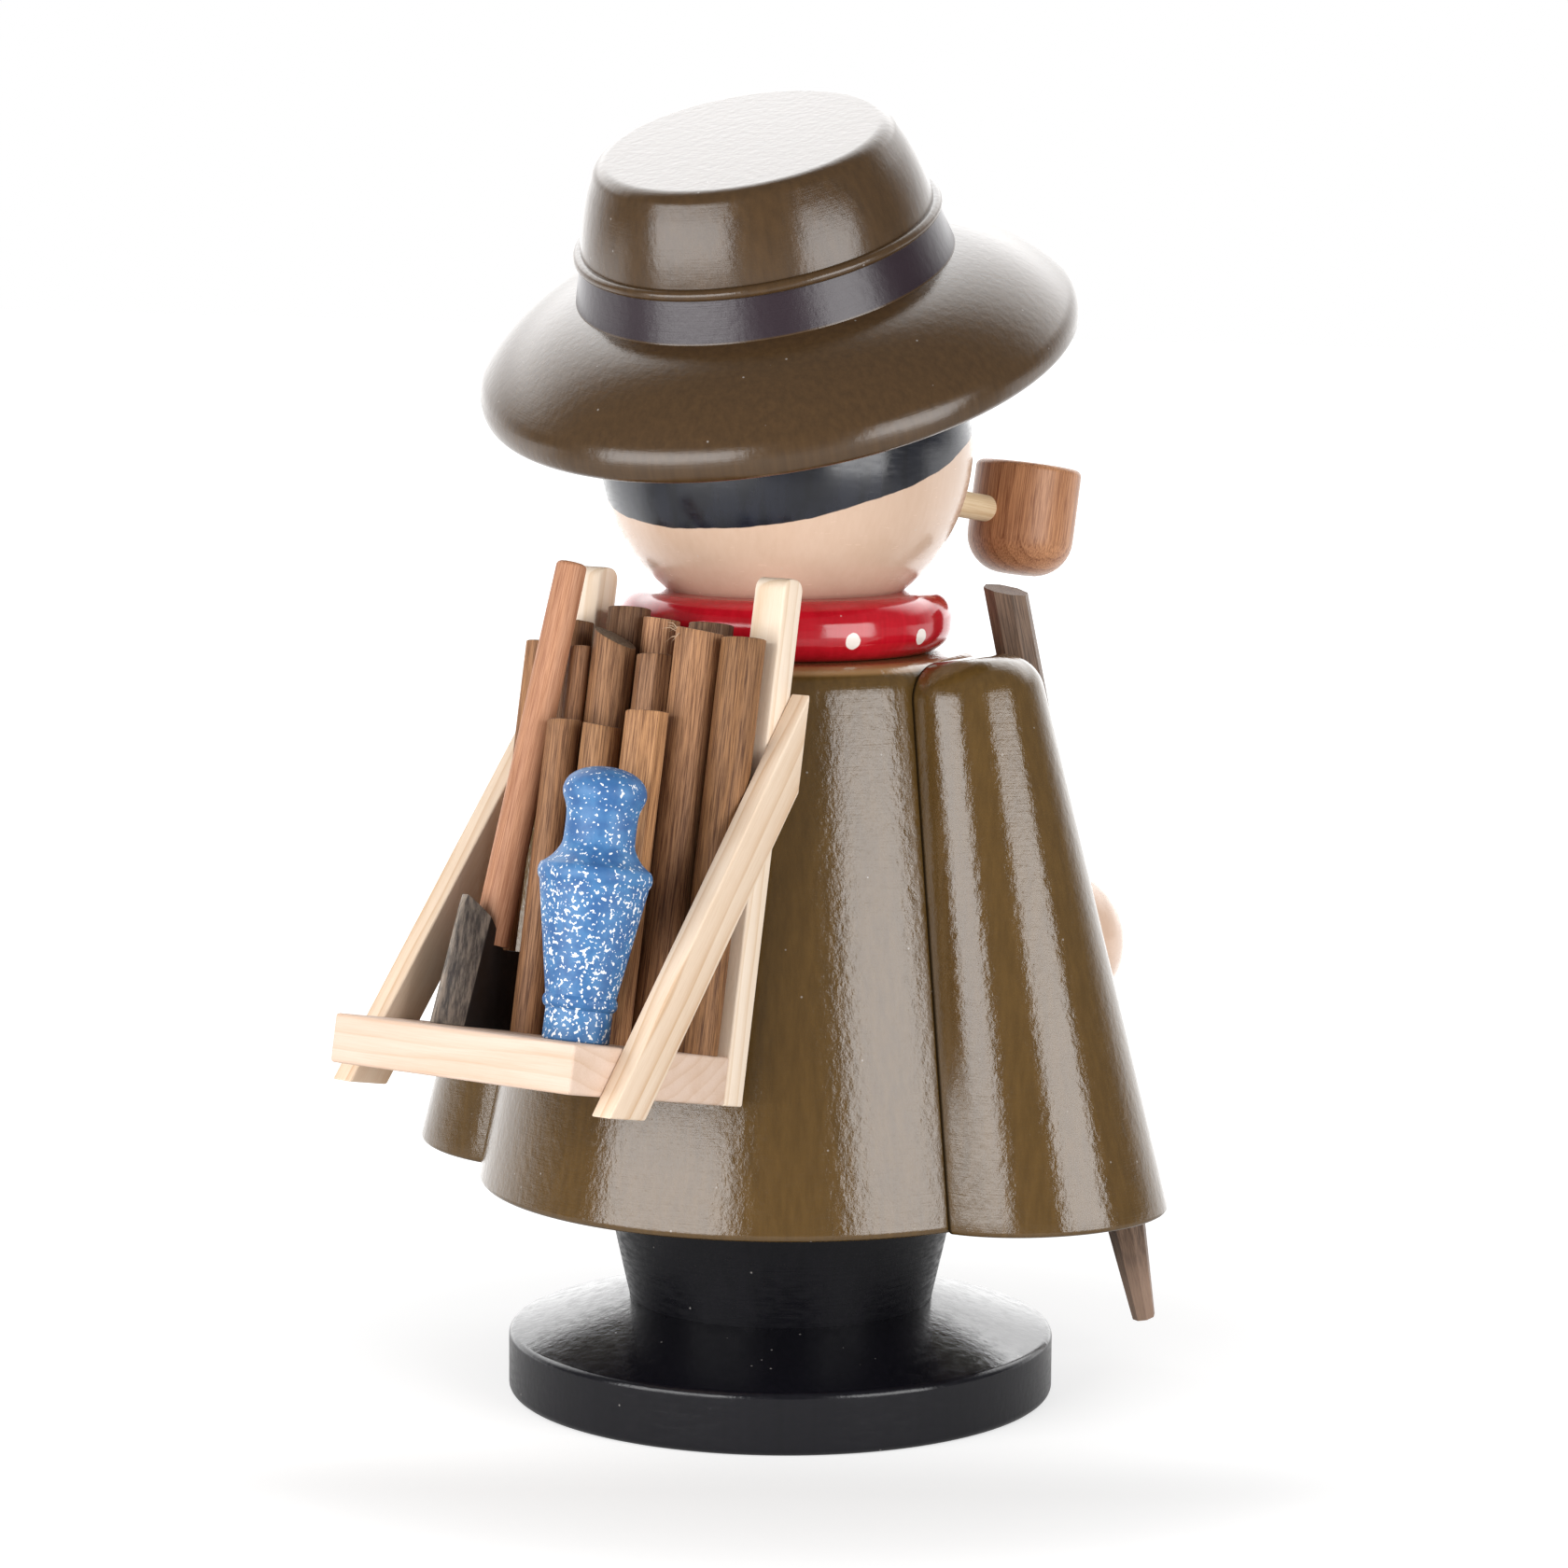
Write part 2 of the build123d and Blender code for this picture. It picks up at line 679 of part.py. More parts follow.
# Sticks: cut lengths that stand on the shelf, the row at the coat planed flat against it
stick_radius = board_width * stick_share
for number, (across, out, girth, height) in enumerate(stick_shares):
    place = (across * stick_radius, coat_out + out * stick_radius)
    radius = girth * stick_radius
    top = height * load_height
    cut_origin = shelf_top_plane.from_local_coords((place[0], place[1], top))
    cut_lean = math.radians(stick_slants[number])
    cut_facing = up_line * math.cos(cut_lean) + Vector(math.sin(cut_lean), 0, 0)
    with BuildPart() as stick:
        with BuildSketch(shelf_top_plane):
            with Locations(place):
                if stick_sides[number]:
                    RegularPolygon(radius, stick_sides[number])
                else:
                    Circle(radius)
            with Locations((0, coat_out + glue_gap)):
                Rectangle(board_width, overrun, align=(Align.CENTER, Align.MAX), mode=Mode.SUBTRACT)
        extrude(amount=top + radius)
        split(bisect_by=Plane(origin=cut_origin, z_dir=cut_facing), keep=Keep.BOTTOM)
    stick.part.label = f"stick_{number + 1:02d}"
    export_step(stick.part, f"parts/stick_{number + 1:02d}.step")

# Axe: it stands head down on the shelf, the handle's tenon in the head's eye
handle_foot = shelf_top_plane.from_local_coords((axe_across, -axe_out, 0))
handle_end = shelf_top_plane.from_local_coords(
    (axe_across - handle_lean_in, -axe_out - handle_lean_front, handle_height)
)
handle_line = handle_end - handle_foot
handle_plane = Plane(origin=handle_foot, z_dir=handle_line)


def handle_form(grow):
    """Tapered handle with a thin tenon below, wider all round by grow."""
    with BuildPart() as form:
        with BuildSketch(handle_plane.offset(handle_tenon_length - grow)):
            Circle(handle_radius + grow)
        with BuildSketch(handle_plane.offset(handle_line.length)):
            Circle(handle_top_radius + grow)
        loft(ruled=True)
        with BuildSketch(handle_plane.offset(-grow)):
            Circle(handle_tenon_radius + grow)
        extrude(amount=handle_tenon_length)
    return form


handle_skin = handle_form(slip)
axe_handle = handle_form(0)
with axe_handle:
    top_edge = axe_handle.edges().filter_by(GeomType.CIRCLE).sort_by(Axis(handle_foot, handle_line))[-1]
    fillet(top_edge, handle_round)
    split(bisect_by=shelf_top_plane, keep=Keep.TOP)
axe_handle.part.label = "axe_handle"
export_step(axe_handle.part, "parts/axe_handle.step")

axe_poll = -axe_back - axe_length
tip = (-axe_back - axe_tip_share * axe_length, axe_height)
cheek = (-axe_back - axe_cheek_shares[0] * axe_length, axe_cheek_shares[1] * axe_height)
waist = (-axe_back - axe_waist_share * axe_length, axe_poll_height)
axe_side = Plane(
    origin=shelf_top_plane.from_local_coords((axe_across - axe_thick / 2, 0, 0)),
    x_dir=out_line,
    z_dir=(1, 0, 0),
)
axe_brow_height = axe_height * (1 - axe_tip_drop_share)
edge_line = up_line * axe_height - out_line * axe_edge_lean_share * axe_length
edge_root = shelf_top_plane.from_local_coords((axe_across, -axe_back, 0))
with BuildPart() as axe_head:
    with BuildSketch(axe_side):
        with BuildLine():
            Polyline(
                tip,
                (-axe_back - axe_edge_lean_share * axe_length, axe_brow_height),
                (-axe_back, 0),
                (axe_poll, 0),
                (axe_poll, axe_poll_height),
                waist,
            )
            ThreePointArc(waist, cheek, tip)
        make_face()
    extrude(amount=axe_thick)
    with BuildSketch(Plane(origin=edge_root, x_dir=(1, 0, 0), z_dir=edge_line)):
        with BuildLine():
            Polyline(
                (edge_land, 0),
                (axe_thick / 2, bevel_length),
                (axe_thick, bevel_length),
                (axe_thick, -bevel_length),
                (edge_land, -bevel_length),
                close=True,
            )
        make_face()
        mirror(about=Plane.YZ)
    extrude(amount=2 * edge_line.length, both=True, mode=Mode.SUBTRACT)
    add(handle_skin.part, mode=Mode.SUBTRACT)
axe_head.part.label = "axe_head"
export_step(axe_head.part, "parts/axe_head.step")


def flask(shares):
    """Point of the flask's outline."""
    return (shares[0] * bottle_radius, shares[1] * bottle_height)


bottle_foot_point = shelf_top_plane.from_local_coords((bottle_across, -bottle_out, 0))
bottle_section = Plane(origin=bottle_foot_point, x_dir=(1, 0, 0), z_dir=-out_line)
with BuildPart() as bottle:
    with BuildSketch(bottle_section):
        with BuildLine():
            foot_point = flask(bottle_foot_shares)
            waist_point = flask(bottle_waist_shares)
            side_point = flask(bottle_side_shares)
            brow_point = flask(bottle_brow_shares)
            collar_point = flask(bottle_collar_shares)
            neck_point = flask(bottle_neck_shares)
            Line((0, bottle_height), (0, 0))
            Line((0, 0), (foot_point[0], 0))
            Line((foot_point[0], 0), foot_point)
            ThreePointArc(foot_point, flask(bottle_ring_shares), waist_point)
            Line(waist_point, side_point)
            ThreePointArc(side_point, flask((1, bottle_ridge_height_share)), brow_point)
            ThreePointArc(brow_point, flask(bottle_slope_shares), collar_point)
            Line(collar_point, neck_point)
            Spline(
                neck_point,
                flask(bottle_bulb_shares),
                flask(bottle_dome_shares),
                (0, bottle_height),
                tangents=((0, 1), (-1, 0)),
            )
        make_face()
    revolve(axis=Axis(bottle_foot_point, up_line))
bottle.part.label = "bottle"
export_step(bottle.part, "parts/bottle.step")
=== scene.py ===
import math

import bmesh
import bpy
from mathutils import Matrix, Vector, noise


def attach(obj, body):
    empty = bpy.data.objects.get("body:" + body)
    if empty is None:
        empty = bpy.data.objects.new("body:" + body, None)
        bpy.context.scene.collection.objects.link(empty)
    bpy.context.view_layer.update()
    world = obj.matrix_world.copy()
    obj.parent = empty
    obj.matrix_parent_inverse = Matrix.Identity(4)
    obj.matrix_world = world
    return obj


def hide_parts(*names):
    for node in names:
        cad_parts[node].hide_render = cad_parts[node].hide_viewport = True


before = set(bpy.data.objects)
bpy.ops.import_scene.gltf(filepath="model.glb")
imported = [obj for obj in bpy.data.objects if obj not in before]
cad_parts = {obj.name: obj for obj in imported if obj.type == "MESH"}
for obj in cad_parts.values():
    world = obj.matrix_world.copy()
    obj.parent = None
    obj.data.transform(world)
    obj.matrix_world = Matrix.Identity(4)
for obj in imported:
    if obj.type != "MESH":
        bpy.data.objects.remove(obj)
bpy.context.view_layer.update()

# Base: a round plate turned from beech or lime and sprayed with black gloss lacquer.
# It stands flat on the table, and its top rises in a low cone to the legs' foot.
# The legs are doweled and glued on its middle.
MM = 0.001
TURN_STEPS = 240
SHARP = 40.0
BASE_RADIUS = 30.0
BASE_RIM = 6.7
BASE_TOP = 10.5
LEG_FOOT_RADIUS = 16.7


def conic(start, corner, end, weight, t):
    """Point of the curve that leaves start and reaches end along the two sides of a corner."""
    shares = ((1 - t) ** 2, 2 * weight * t * (1 - t), t ** 2)
    return (start * shares[0] + corner * shares[1] + end * shares[2]) / sum(shares)


def rounded(corners, steps=6, closed=False):
    """Outline through (radius, height, rounding) corners, an arc put on each corner that has a rounding."""
    outline = []
    last = len(corners) - 1
    for number, (radius, height, rounding) in enumerate(corners):
        corner = Vector((radius, height))
        if not rounding or (not closed and number in (0, last)):
            outline.append(corner)
            continue
        before = Vector(corners[number - 1][:2]) - corner
        after = Vector(corners[(number + 1) % (last + 1)][:2]) - corner
        half = before.angle(after) / 2
        reach = rounding / math.tan(half)
        start = corner + before.normalized() * reach
        end = corner + after.normalized() * reach
        lead = rounding * 0.12
        outline.append(start + before.normalized() * lead)
        outline += [conic(start, corner, end, math.sin(half), step / steps) for step in range(steps + 1)]
        outline.append(end + after.normalized() * lead)
    return outline


def mesh_piece(name, bm, materials, place=None, soft_angle=SHARP):
    """An object from a finished bmesh in mm, put in place, smooth but for the sharp edges."""
    bmesh.ops.transform(bm, matrix=Matrix.Scale(MM, 4) @ (place or Matrix.Identity(4)), verts=bm.verts)
    bmesh.ops.recalc_face_normals(bm, faces=bm.faces)
    mesh = bpy.data.meshes.new(name)
    bm.to_mesh(mesh)
    bm.free()
    mesh.shade_smooth()
    mesh.set_sharp_from_angle(angle=math.radians(soft_angle))
    for material in materials:
        mesh.materials.append(material)
    piece = bpy.data.objects.new(name, mesh)
    bpy.context.collection.objects.link(piece)
    return piece


def turned(name, outline, material, place=None, closed=False, steps=TURN_STEPS):
    """A lathe piece: the (radius, height) outline, in mm, spun about the height axis and put in place."""
    bm = bmesh.new()
    points = [bm.verts.new((point[0], 0, point[1])) for point in outline]
    edges = [bm.edges.new(pair) for pair in zip(points, points[1:])]
    if closed:
        edges.append(bm.edges.new((points[-1], points[0])))
    bmesh.ops.spin(bm, geom=points + edges, cent=(0, 0, 0), axis=(0, 0, 1), angle=math.tau, steps=steps,
                   use_merge=True)
    bmesh.ops.remove_doubles(bm, verts=bm.verts, dist=1e-5)
    return mesh_piece(name, bm, [material], place)


def tone(red, green, blue):
    """Linear colour of an sRGB colour given from 0 to 255."""
    parts = [value / 255 for value in (red, green, blue)]
    return (*[part / 12.92 if part < 0.0404 else ((part + 0.055) / 1.055) ** 2.4 for part in parts], 1.0)


def shader(name):
    """A new material with its node tree and its Principled shader."""
    material = bpy.data.materials.new(name)
    material.use_nodes = True
    tree = material.node_tree
    return material, tree, tree.nodes["Principled BSDF"]


def feed(socket, value):
    """Links an output to the socket, or sets the socket to a plain value."""
    if isinstance(value, bpy.types.NodeSocket):
        socket.id_data.links.new(value, socket)
    else:
        socket.default_value = value


def calc(tree, operation, *values):
    """Output of a maths node."""
    node = tree.nodes.new("ShaderNodeMath")
    node.operation = operation
    for socket, value in zip(node.inputs, values):
        feed(socket, value)
    return node.outputs[0]


def spread(tree, value, low, high, start=0.0, end=1.0):
    """Value taken smoothly from low..high to start..end."""
    node = tree.nodes.new("ShaderNodeMapRange")
    node.interpolation_type = "SMOOTHSTEP"
    for socket, number in zip(node.inputs, (value, low, high, start, end)):
        feed(socket, number)
    return node.outputs[0]


def mixed(tree, share, first, second):
    """Colour between the first and the second."""
    node = tree.nodes.new("ShaderNodeMix")
    node.data_type = "RGBA"
    feed(node.inputs[0], share)
    feed(node.inputs[6], first)
    feed(node.inputs[7], second)
    return node.outputs[2]


def along(tree, spot, line):
    """How far a vector reaches along a line."""
    node = tree.nodes.new("ShaderNodeVectorMath")
    node.operation = "DOT_PRODUCT"
    feed(node.inputs[0], spot)
    feed(node.inputs[1], line)
    return node.outputs["Value"]


def own_axes(tree, place):
    """Object coordinates in mm along a piece's own axes, as three outputs."""
    spot = tree.nodes.new("ShaderNodeTexCoord").outputs["Object"]
    return [calc(tree, "ADD", along(tree, spot, row.xyz / MM), row.w) for row in place.inverted()[:3]]


def joined(tree, parts):
    """One vector from three values."""
    node = tree.nodes.new("ShaderNodeCombineXYZ")
    for socket, part in zip(node.inputs, parts):
        feed(socket, part)
    return node.outputs[0]


def grain_of(tree, axes, scales, detail=3.0, roughness=0.55):
    """Noise of the three coordinates, each times its own scale."""
    node = tree.nodes.new("ShaderNodeTexNoise")
    spot = joined(tree, [calc(tree, "MULTIPLY", axis, scale) for axis, scale in zip(axes, scales)])
    for socket, value in (("Vector", spot), ("Scale", 1.0), ("Detail", detail), ("Roughness", roughness)):
        feed(node.inputs[socket], value)
    return node.outputs["Fac"]


def bump(tree, height, distance, under=None):
    """Normal from a height, in mm, over another normal."""
    node = tree.nodes.new("ShaderNodeBump")
    node.inputs["Distance"].default_value = distance * MM
    feed(node.inputs["Height"], height)
    if under:
        feed(node.inputs["Normal"], under)
    return node.outputs["Normal"]


def lacquer(name, colour, shade, place=None, roughness=0.12, peel=0.01, rings=0.004, grain=0.5, gloss=0.5):
    """Sprayed gloss lacquer on turned wood: faint wood grain, orange peel, turning rings and dust."""
    material, tree, surface = shader(name)
    axes = own_axes(tree, place or Matrix.Identity(4))
    streaks = grain_of(tree, axes, (1.3, 1.3, 0.04), detail=5.0, roughness=0.6)
    base = mixed(tree, spread(tree, streaks, 0.5 - grain / 2, 0.5 + grain / 2), colour, shade)
    specks = tree.nodes.new("ShaderNodeTexVoronoi")
    feed(specks.inputs["Vector"], joined(tree, axes))
    specks.inputs["Scale"].default_value = 0.35
    dust = spread(tree, specks.outputs["Distance"], 0.03, 0.05, 0.35, 0.0)
    base = mixed(tree, dust, base, tone(200, 195, 190))
    feed(surface.inputs["Base Color"], base)
    soft = grain_of(tree, axes, (0.5, 0.5, 2.5), detail=3.0)
    feed(surface.inputs["Roughness"], spread(tree, soft, 0.3, 0.75, roughness * 0.75, roughness * 1.4))
    orange = grain_of(tree, axes, (1.1, 1.1, 0.8), detail=4.0, roughness=0.6)
    scratches = grain_of(tree, axes, (0.12, 0.12, 7.0), detail=4.0, roughness=0.7)
    normal = bump(tree, scratches, rings, bump(tree, orange, peel))
    feed(surface.inputs["Normal"], normal)
    surface.inputs["Specular IOR Level"].default_value = gloss
    return material, tree, surface, axes, base


black_lacquer = lacquer("black_lacquer", tone(13, 13, 18), tone(18, 17, 23), roughness=0.19, peel=0.035,
                        rings=0.012, gloss=0.4)[0]
base_plate = turned("base_plate", rounded([
    (0, 0, 0),
    (BASE_RADIUS, 0, 0.8),
    (BASE_RADIUS, BASE_RIM, 0.8),
    (LEG_FOOT_RADIUS, BASE_TOP, 0),
    (0, BASE_TOP, 0),
]), black_lacquer)
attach(base_plate, "base")
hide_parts("base_disc")

# Legs: one turned cone in a thinner, duller coat of the black, with a spigot on top that the coat stands on.
# Three air slots run over its shoulder and up the spigot.
leg_lacquer = lacquer("leg_lacquer", tone(12, 12, 16), tone(17, 16, 21), roughness=0.36, peel=0.03,
                      rings=0.015, gloss=0.25)[0]
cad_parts["legs"].material_slots[0].material = leg_lacquer


def span(tree, first, second):
    """Distance that two offsets at right angles make."""
    squares = [calc(tree, "POWER", offset, 2.0) for offset in (first, second)]
    return calc(tree, "SQRT", calc(tree, "ADD", *squares))


def timber(name, light, dark, place=None, pith=(6.0, 9.0), spacing=1.3, lines=0.5, fibre=0.5,
           fine=7.0, roughness=0.62, relief=0.02):
    """Bare wood cut from one solid: growth lines round a pith, fibres along the third axis."""
    material, tree, surface = shader(name)
    axes = own_axes(tree, place or Matrix.Identity(4))
    drift = grain_of(tree, axes, (0.11, 0.11, 0.03), detail=2.0)
    reach = span(tree, calc(tree, "SUBTRACT", axes[0], pith[0]), calc(tree, "SUBTRACT", axes[1], pith[1]))
    radius = calc(tree, "ADD", reach, calc(tree, "MULTIPLY", drift, 2.2))
    year = calc(tree, "FRACT", calc(tree, "DIVIDE", radius, spacing))
    late = calc(tree, "POWER", year, 3.0)
    edge = spread(tree, year, 0.9, 1.0, 1.0, 0.0)
    growth = calc(tree, "MULTIPLY", calc(tree, "MULTIPLY", late, edge), lines)
    threads = grain_of(tree, axes, (fine, fine, 0.22), detail=5.0, roughness=0.65)
    streak = spread(tree, threads, 0.35, 0.68, 0.0, fibre)
    patch = grain_of(tree, axes, (0.35, 0.35, 0.05), detail=2.0)
    share = calc(tree, "ADD", calc(tree, "ADD", growth, streak), spread(tree, patch, 0.35, 0.7, 0.0, 0.22))
    base = mixed(tree, calc(tree, "MINIMUM", share, 1.0), light, dark)
    feed(surface.inputs["Base Color"], base)
    rough = spread(tree, threads, 0.3, 0.7, roughness * 0.9, roughness * 1.15)
    feed(surface.inputs["Roughness"], rough)
    surface.inputs["Specular IOR Level"].default_value = 0.35
    fuzz = grain_of(tree, axes, (2.2, 2.2, 1.2), detail=4.0)
    normal = bump(tree, fuzz, relief * 1.3, bump(tree, threads, relief))
    feed(surface.inputs["Normal"], normal)
    return material, tree, surface, axes, base


dowel_wood = timber("dowel_wood", tone(226, 200, 160), tone(190, 155, 110))[0]
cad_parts["leg_dowel"].material_slots[0].material = dowel_wood

# Incense dish: thin tinned sheet, pressed, with a nail through its middle into the spigot.
# It is dull and a little sooty from the cones that have burned on it.
tin, tin_tree, tin_surface = shader("tin_sheet")
soot = grain_of(tin_tree, own_axes(tin_tree, Matrix.Identity(4)), (0.25, 0.25, 0.25), detail=4.0)
tin_colour = mixed(tin_tree, spread(tin_tree, soot, 0.4, 0.7), tone(196, 194, 188), tone(120, 112, 100))
feed(tin_surface.inputs["Base Color"], tin_colour)
feed(tin_surface.inputs["Roughness"], spread(tin_tree, soot, 0.3, 0.7, 0.28, 0.5))
tin_surface.inputs["Metallic"].default_value = 1.0
feed(tin_surface.inputs["Normal"], bump(tin_tree, soot, 0.02))
for node_name in ("incense_dish", "dish_nail"):
    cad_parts[node_name].material_slots[0].material = tin

# Coat: one turned hollow cone in olive brown gloss lacquer, bare inside where the smoke rises.
# Its hem stands over the legs' shoulder, the neck ring is glued on its flat top.
HEM_Z = 23.6
HEM_RADIUS = 33.4
COAT_TOP = 82.0
COAT_SLOPE = math.radians(11.5)
SPIGOT_SEAT_RADIUS = 21.0
CHAMBER_RADIUS = 13.0
FLUE_RADIUS = 2.3
NECK_BORE_RADIUS = 5.55
OLIVE_GLOSS = 0.6


def coat_radius(height):
    """Radius of the coat's cone at a height."""
    return HEM_RADIUS - (height - HEM_Z) * math.tan(COAT_SLOPE)


def olive_coat(name):
    """The coat's olive brown lacquer."""
    return lacquer(name, tone(95, 71, 36), tone(80, 59, 29), roughness=0.115, peel=0.055, rings=0.014,
                   grain=0.7, gloss=OLIVE_GLOSS)


olive_lacquer, olive_tree, olive_surface, olive_axes, olive_base = olive_coat("olive_lacquer")
bare = spread(olive_tree, span(olive_tree, *olive_axes[:2]), 20.9, 21.3, 1.0, 0.0)
feed(olive_surface.inputs["Base Color"], mixed(olive_tree, bare, olive_base, tone(150, 115, 75)))
coat = turned("coat", rounded([
    (SPIGOT_SEAT_RADIUS, HEM_Z, 0.5),
    (HEM_RADIUS, HEM_Z, 0.6),
    (coat_radius(COAT_TOP), COAT_TOP, 3.0),
    (NECK_BORE_RADIUS, COAT_TOP, 0),
    (NECK_BORE_RADIUS, 75.5, 0),
    (FLUE_RADIUS, 75.5, 0),
    (FLUE_RADIUS, 69.0, 0),
    (CHAMBER_RADIUS, 62.0, 0),
    (CHAMBER_RADIUS, 27.0, 0),
    (SPIGOT_SEAT_RADIUS, 27.0, 0),
], closed=True), olive_lacquer, closed=True)
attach(coat, "figure")
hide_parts("coat_body")

# Arms: two more turned cones in the same lacquer, glued along the coat's sides.
# Each is dished to the coat's cone. The thin dark seam between them is a glue line with painted shade in the
# crease: the sleeve darkens and loses its reflection next to the coat.
SEAM_SHADE = (0.2, 0.6)
sleeve_lacquer, sleeve_tree, sleeve_surface, sleeve_axes, sleeve_base = olive_coat("sleeve_lacquer")
sleeve_away = span(sleeve_tree, *sleeve_axes[:2])
sleeve_fall = calc(sleeve_tree, "MULTIPLY", sleeve_axes[2], math.tan(COAT_SLOPE))
sleeve_gap = calc(sleeve_tree, "SUBTRACT", calc(sleeve_tree, "ADD", sleeve_away, sleeve_fall), coat_radius(0))
# Painted shade in the crease and a dark glue line: the sleeve's colour turns dark brown within 0.2 to 0.6 mm
# of the coat.
seam_shade_share = spread(sleeve_tree, sleeve_gap, *SEAM_SHADE, 0.9, 0.0)
sleeve_seam_shaded_colour = mixed(sleeve_tree, seam_shade_share, sleeve_base, tone(26, 20, 12))
# Painted shade: the sleeve's reflection is taken out in the same band next to the coat.
sleeve_gloss_seam_shaded = spread(sleeve_tree, sleeve_gap, *SEAM_SHADE, 0.0, OLIVE_GLOSS)
feed(sleeve_surface.inputs["Base Color"], sleeve_seam_shaded_colour)
feed(sleeve_surface.inputs["Specular IOR Level"], sleeve_gloss_seam_shaded)
ARM_FOOT = Vector((-32.2, 0, HEM_Z))
ARM_HEAD = Vector((-23.0, 0, 82.3))
ARM_FOOT_RADIUS = 14.2
ARM_HEAD_RADIUS = 7.45
ARM_HEM_TILT = math.radians(2.9)
ARM_COLUMNS = 120
GLUE_COLUMNS = 16
HEM_ROWS = 6
SIDE_ROWS = 60
SHOULDER_ROWS = 15
HEM_ROUNDING = 0.6
SHOULDER_ROUNDING = 4.4
SIDE_ENDS = (0.8, 4.2)


def arm_rows():
    """Rows of the right arm from the middle of its hem to that of its top, each a function of angle."""
    line = ARM_HEAD - ARM_FOOT
    up = line.normalized()
    out = Vector((-up.z, 0, up.x))
    side = Vector((0, 1, 0))
    hem_normal = Vector((math.sin(ARM_HEM_TILT), 0, math.cos(ARM_HEM_TILT)))

    def spoke(angle):
        return out * math.cos(angle) + side * math.sin(angle)

    def foot(angle):
        point = ARM_FOOT + spoke(angle) * ARM_FOOT_RADIUS
        slide = (line + spoke(angle) * (ARM_HEAD_RADIUS - ARM_FOOT_RADIUS)).normalized()
        return point - slide * ((point - ARM_FOOT).dot(hem_normal) / slide.dot(hem_normal)), slide

    def head(angle):
        return ARM_HEAD + spoke(angle) * ARM_HEAD_RADIUS

    rows = []
    for share in (0.35, 0.75):
        rows.append(lambda angle, share=share: ARM_FOOT.lerp(foot(angle)[0], share))
    for step in range(HEM_ROWS):
        def hem_row(angle, t=step / (HEM_ROWS - 1)):
            corner, slide = foot(angle)
            inward = (ARM_FOOT - corner).normalized()
            return conic(corner + inward * HEM_ROUNDING, corner, corner + slide * HEM_ROUNDING, 0.72, t)
        rows.append(hem_row)
    for step in range(1, SIDE_ROWS):
        def side_row(angle, t=step / SIDE_ROWS):
            corner, slide = foot(angle)
            top = head(angle)
            reach = (top - corner).length
            return corner + slide * (SIDE_ENDS[0] + (reach - SIDE_ENDS[0] - SIDE_ENDS[1]) * t)
        rows.append(side_row)
    for step in range(SHOULDER_ROWS):
        def shoulder_row(angle, t=step / (SHOULDER_ROWS - 1)):
            slide = foot(angle)[1]
            top = head(angle)
            inward = -spoke(angle)
            half = (-slide).angle(inward) / 2
            reach = SHOULDER_ROUNDING / math.tan(half)
            return conic(top - slide * reach, top, top + inward * reach, math.sin(half), t)
        rows.append(shoulder_row)
    for share in (0.6, 0.2, 0.0):
        rows.append(lambda angle, share=share: ARM_HEAD + spoke(angle) * (ARM_HEAD_RADIUS - 4.1) * share)
    return rows


def outside(point):
    """How far a point stands out of the coat's cone."""
    if point.z > COAT_TOP + 0.6:
        return 1.0
    return math.hypot(point.x, point.y) - coat_radius(point.z) - 0.02


def skinned(bm, rings, paint=0):
    """Faces between rings of points that have the same count."""
    for lower, upper in zip(rings, rings[1:]):
        for step in range(len(lower)):
            after = (step + 1) % len(lower)
            bm.faces.new((lower[step], lower[after], upper[after], upper[step])).material_index = paint


def arm(name, flip):
    """The arm as rings of points: the turned side up to the coat's cone, then along the glue face."""
    bm = bmesh.new()
    rings = []
    for row in arm_rows():
        low, high = 0.0, math.pi
        if outside(row(high)) > 0:
            low = high
        elif outside(row(low)) < 0:
            high = low
        else:
            for _ in range(40):
                middle = (low + high) / 2
                if outside(row(middle)) > 0:
                    low = middle
                else:
                    high = middle
        ring = [row(-low + 2 * low * column / ARM_COLUMNS) for column in range(ARM_COLUMNS + 1)]
        start = ring[-1]
        turn_start = math.atan2(start.y, -start.x)
        for column in range(1, GLUE_COLUMNS):
            share = column / GLUE_COLUMNS
            turn = turn_start * (1 - 2 * share)
            radius = math.hypot(start.x, start.y)
            ring.append(Vector((-radius * math.cos(turn), radius * math.sin(turn), start.z)))
        rings.append([bm.verts.new((flip * point.x, point.y, point.z)) for point in ring])
    skinned(bm, rings)
    bm.faces.new(rings[0])
    bmesh.ops.remove_doubles(bm, verts=bm.verts, dist=1e-4)
    bmesh.ops.dissolve_degenerate(bm, dist=1e-5, edges=bm.edges)
    return mesh_piece(name, bm, [sleeve_lacquer], soft_angle=35.0)


for arm_name, flip, arm_node in (("sleeve_right", 1, "right_arm"), ("sleeve_left", -1, "left_arm")):
    sleeve = arm(arm_name, flip)
    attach(sleeve, "figure")
    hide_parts(arm_node)

# Hands: turned balls in skin-coloured lacquer, dished and glued in the corner of coat and arm.
# The right one is bored through for the staff.
HAND_RADIUS = 8.3
skin_lacquer = lacquer("skin_lacquer", tone(216, 186, 164), tone(208, 176, 153), roughness=0.2, grain=0.8)[0]


def ball(name, centre, radius, material, steps=96):
    """A turned ball."""
    turns = [math.pi * step / steps for step in range(1, steps)]
    outline = [(radius * math.sin(turn), -radius * math.cos(turn)) for turn in turns]
    outline = [(0, -radius), *outline, (0, radius)]
    return turned(name, outline, material, Matrix.Translation(centre), steps=2 * steps)


for hand_name, hand_x, hand_node in (("fist_right", -22.9, "right_hand"), ("fist_left", 22.9, "left_hand")):
    fist = ball(hand_name, (hand_x, -18.3, 49.5), HAND_RADIUS, skin_lacquer)
    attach(fist, "figure")
    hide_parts(hand_node)

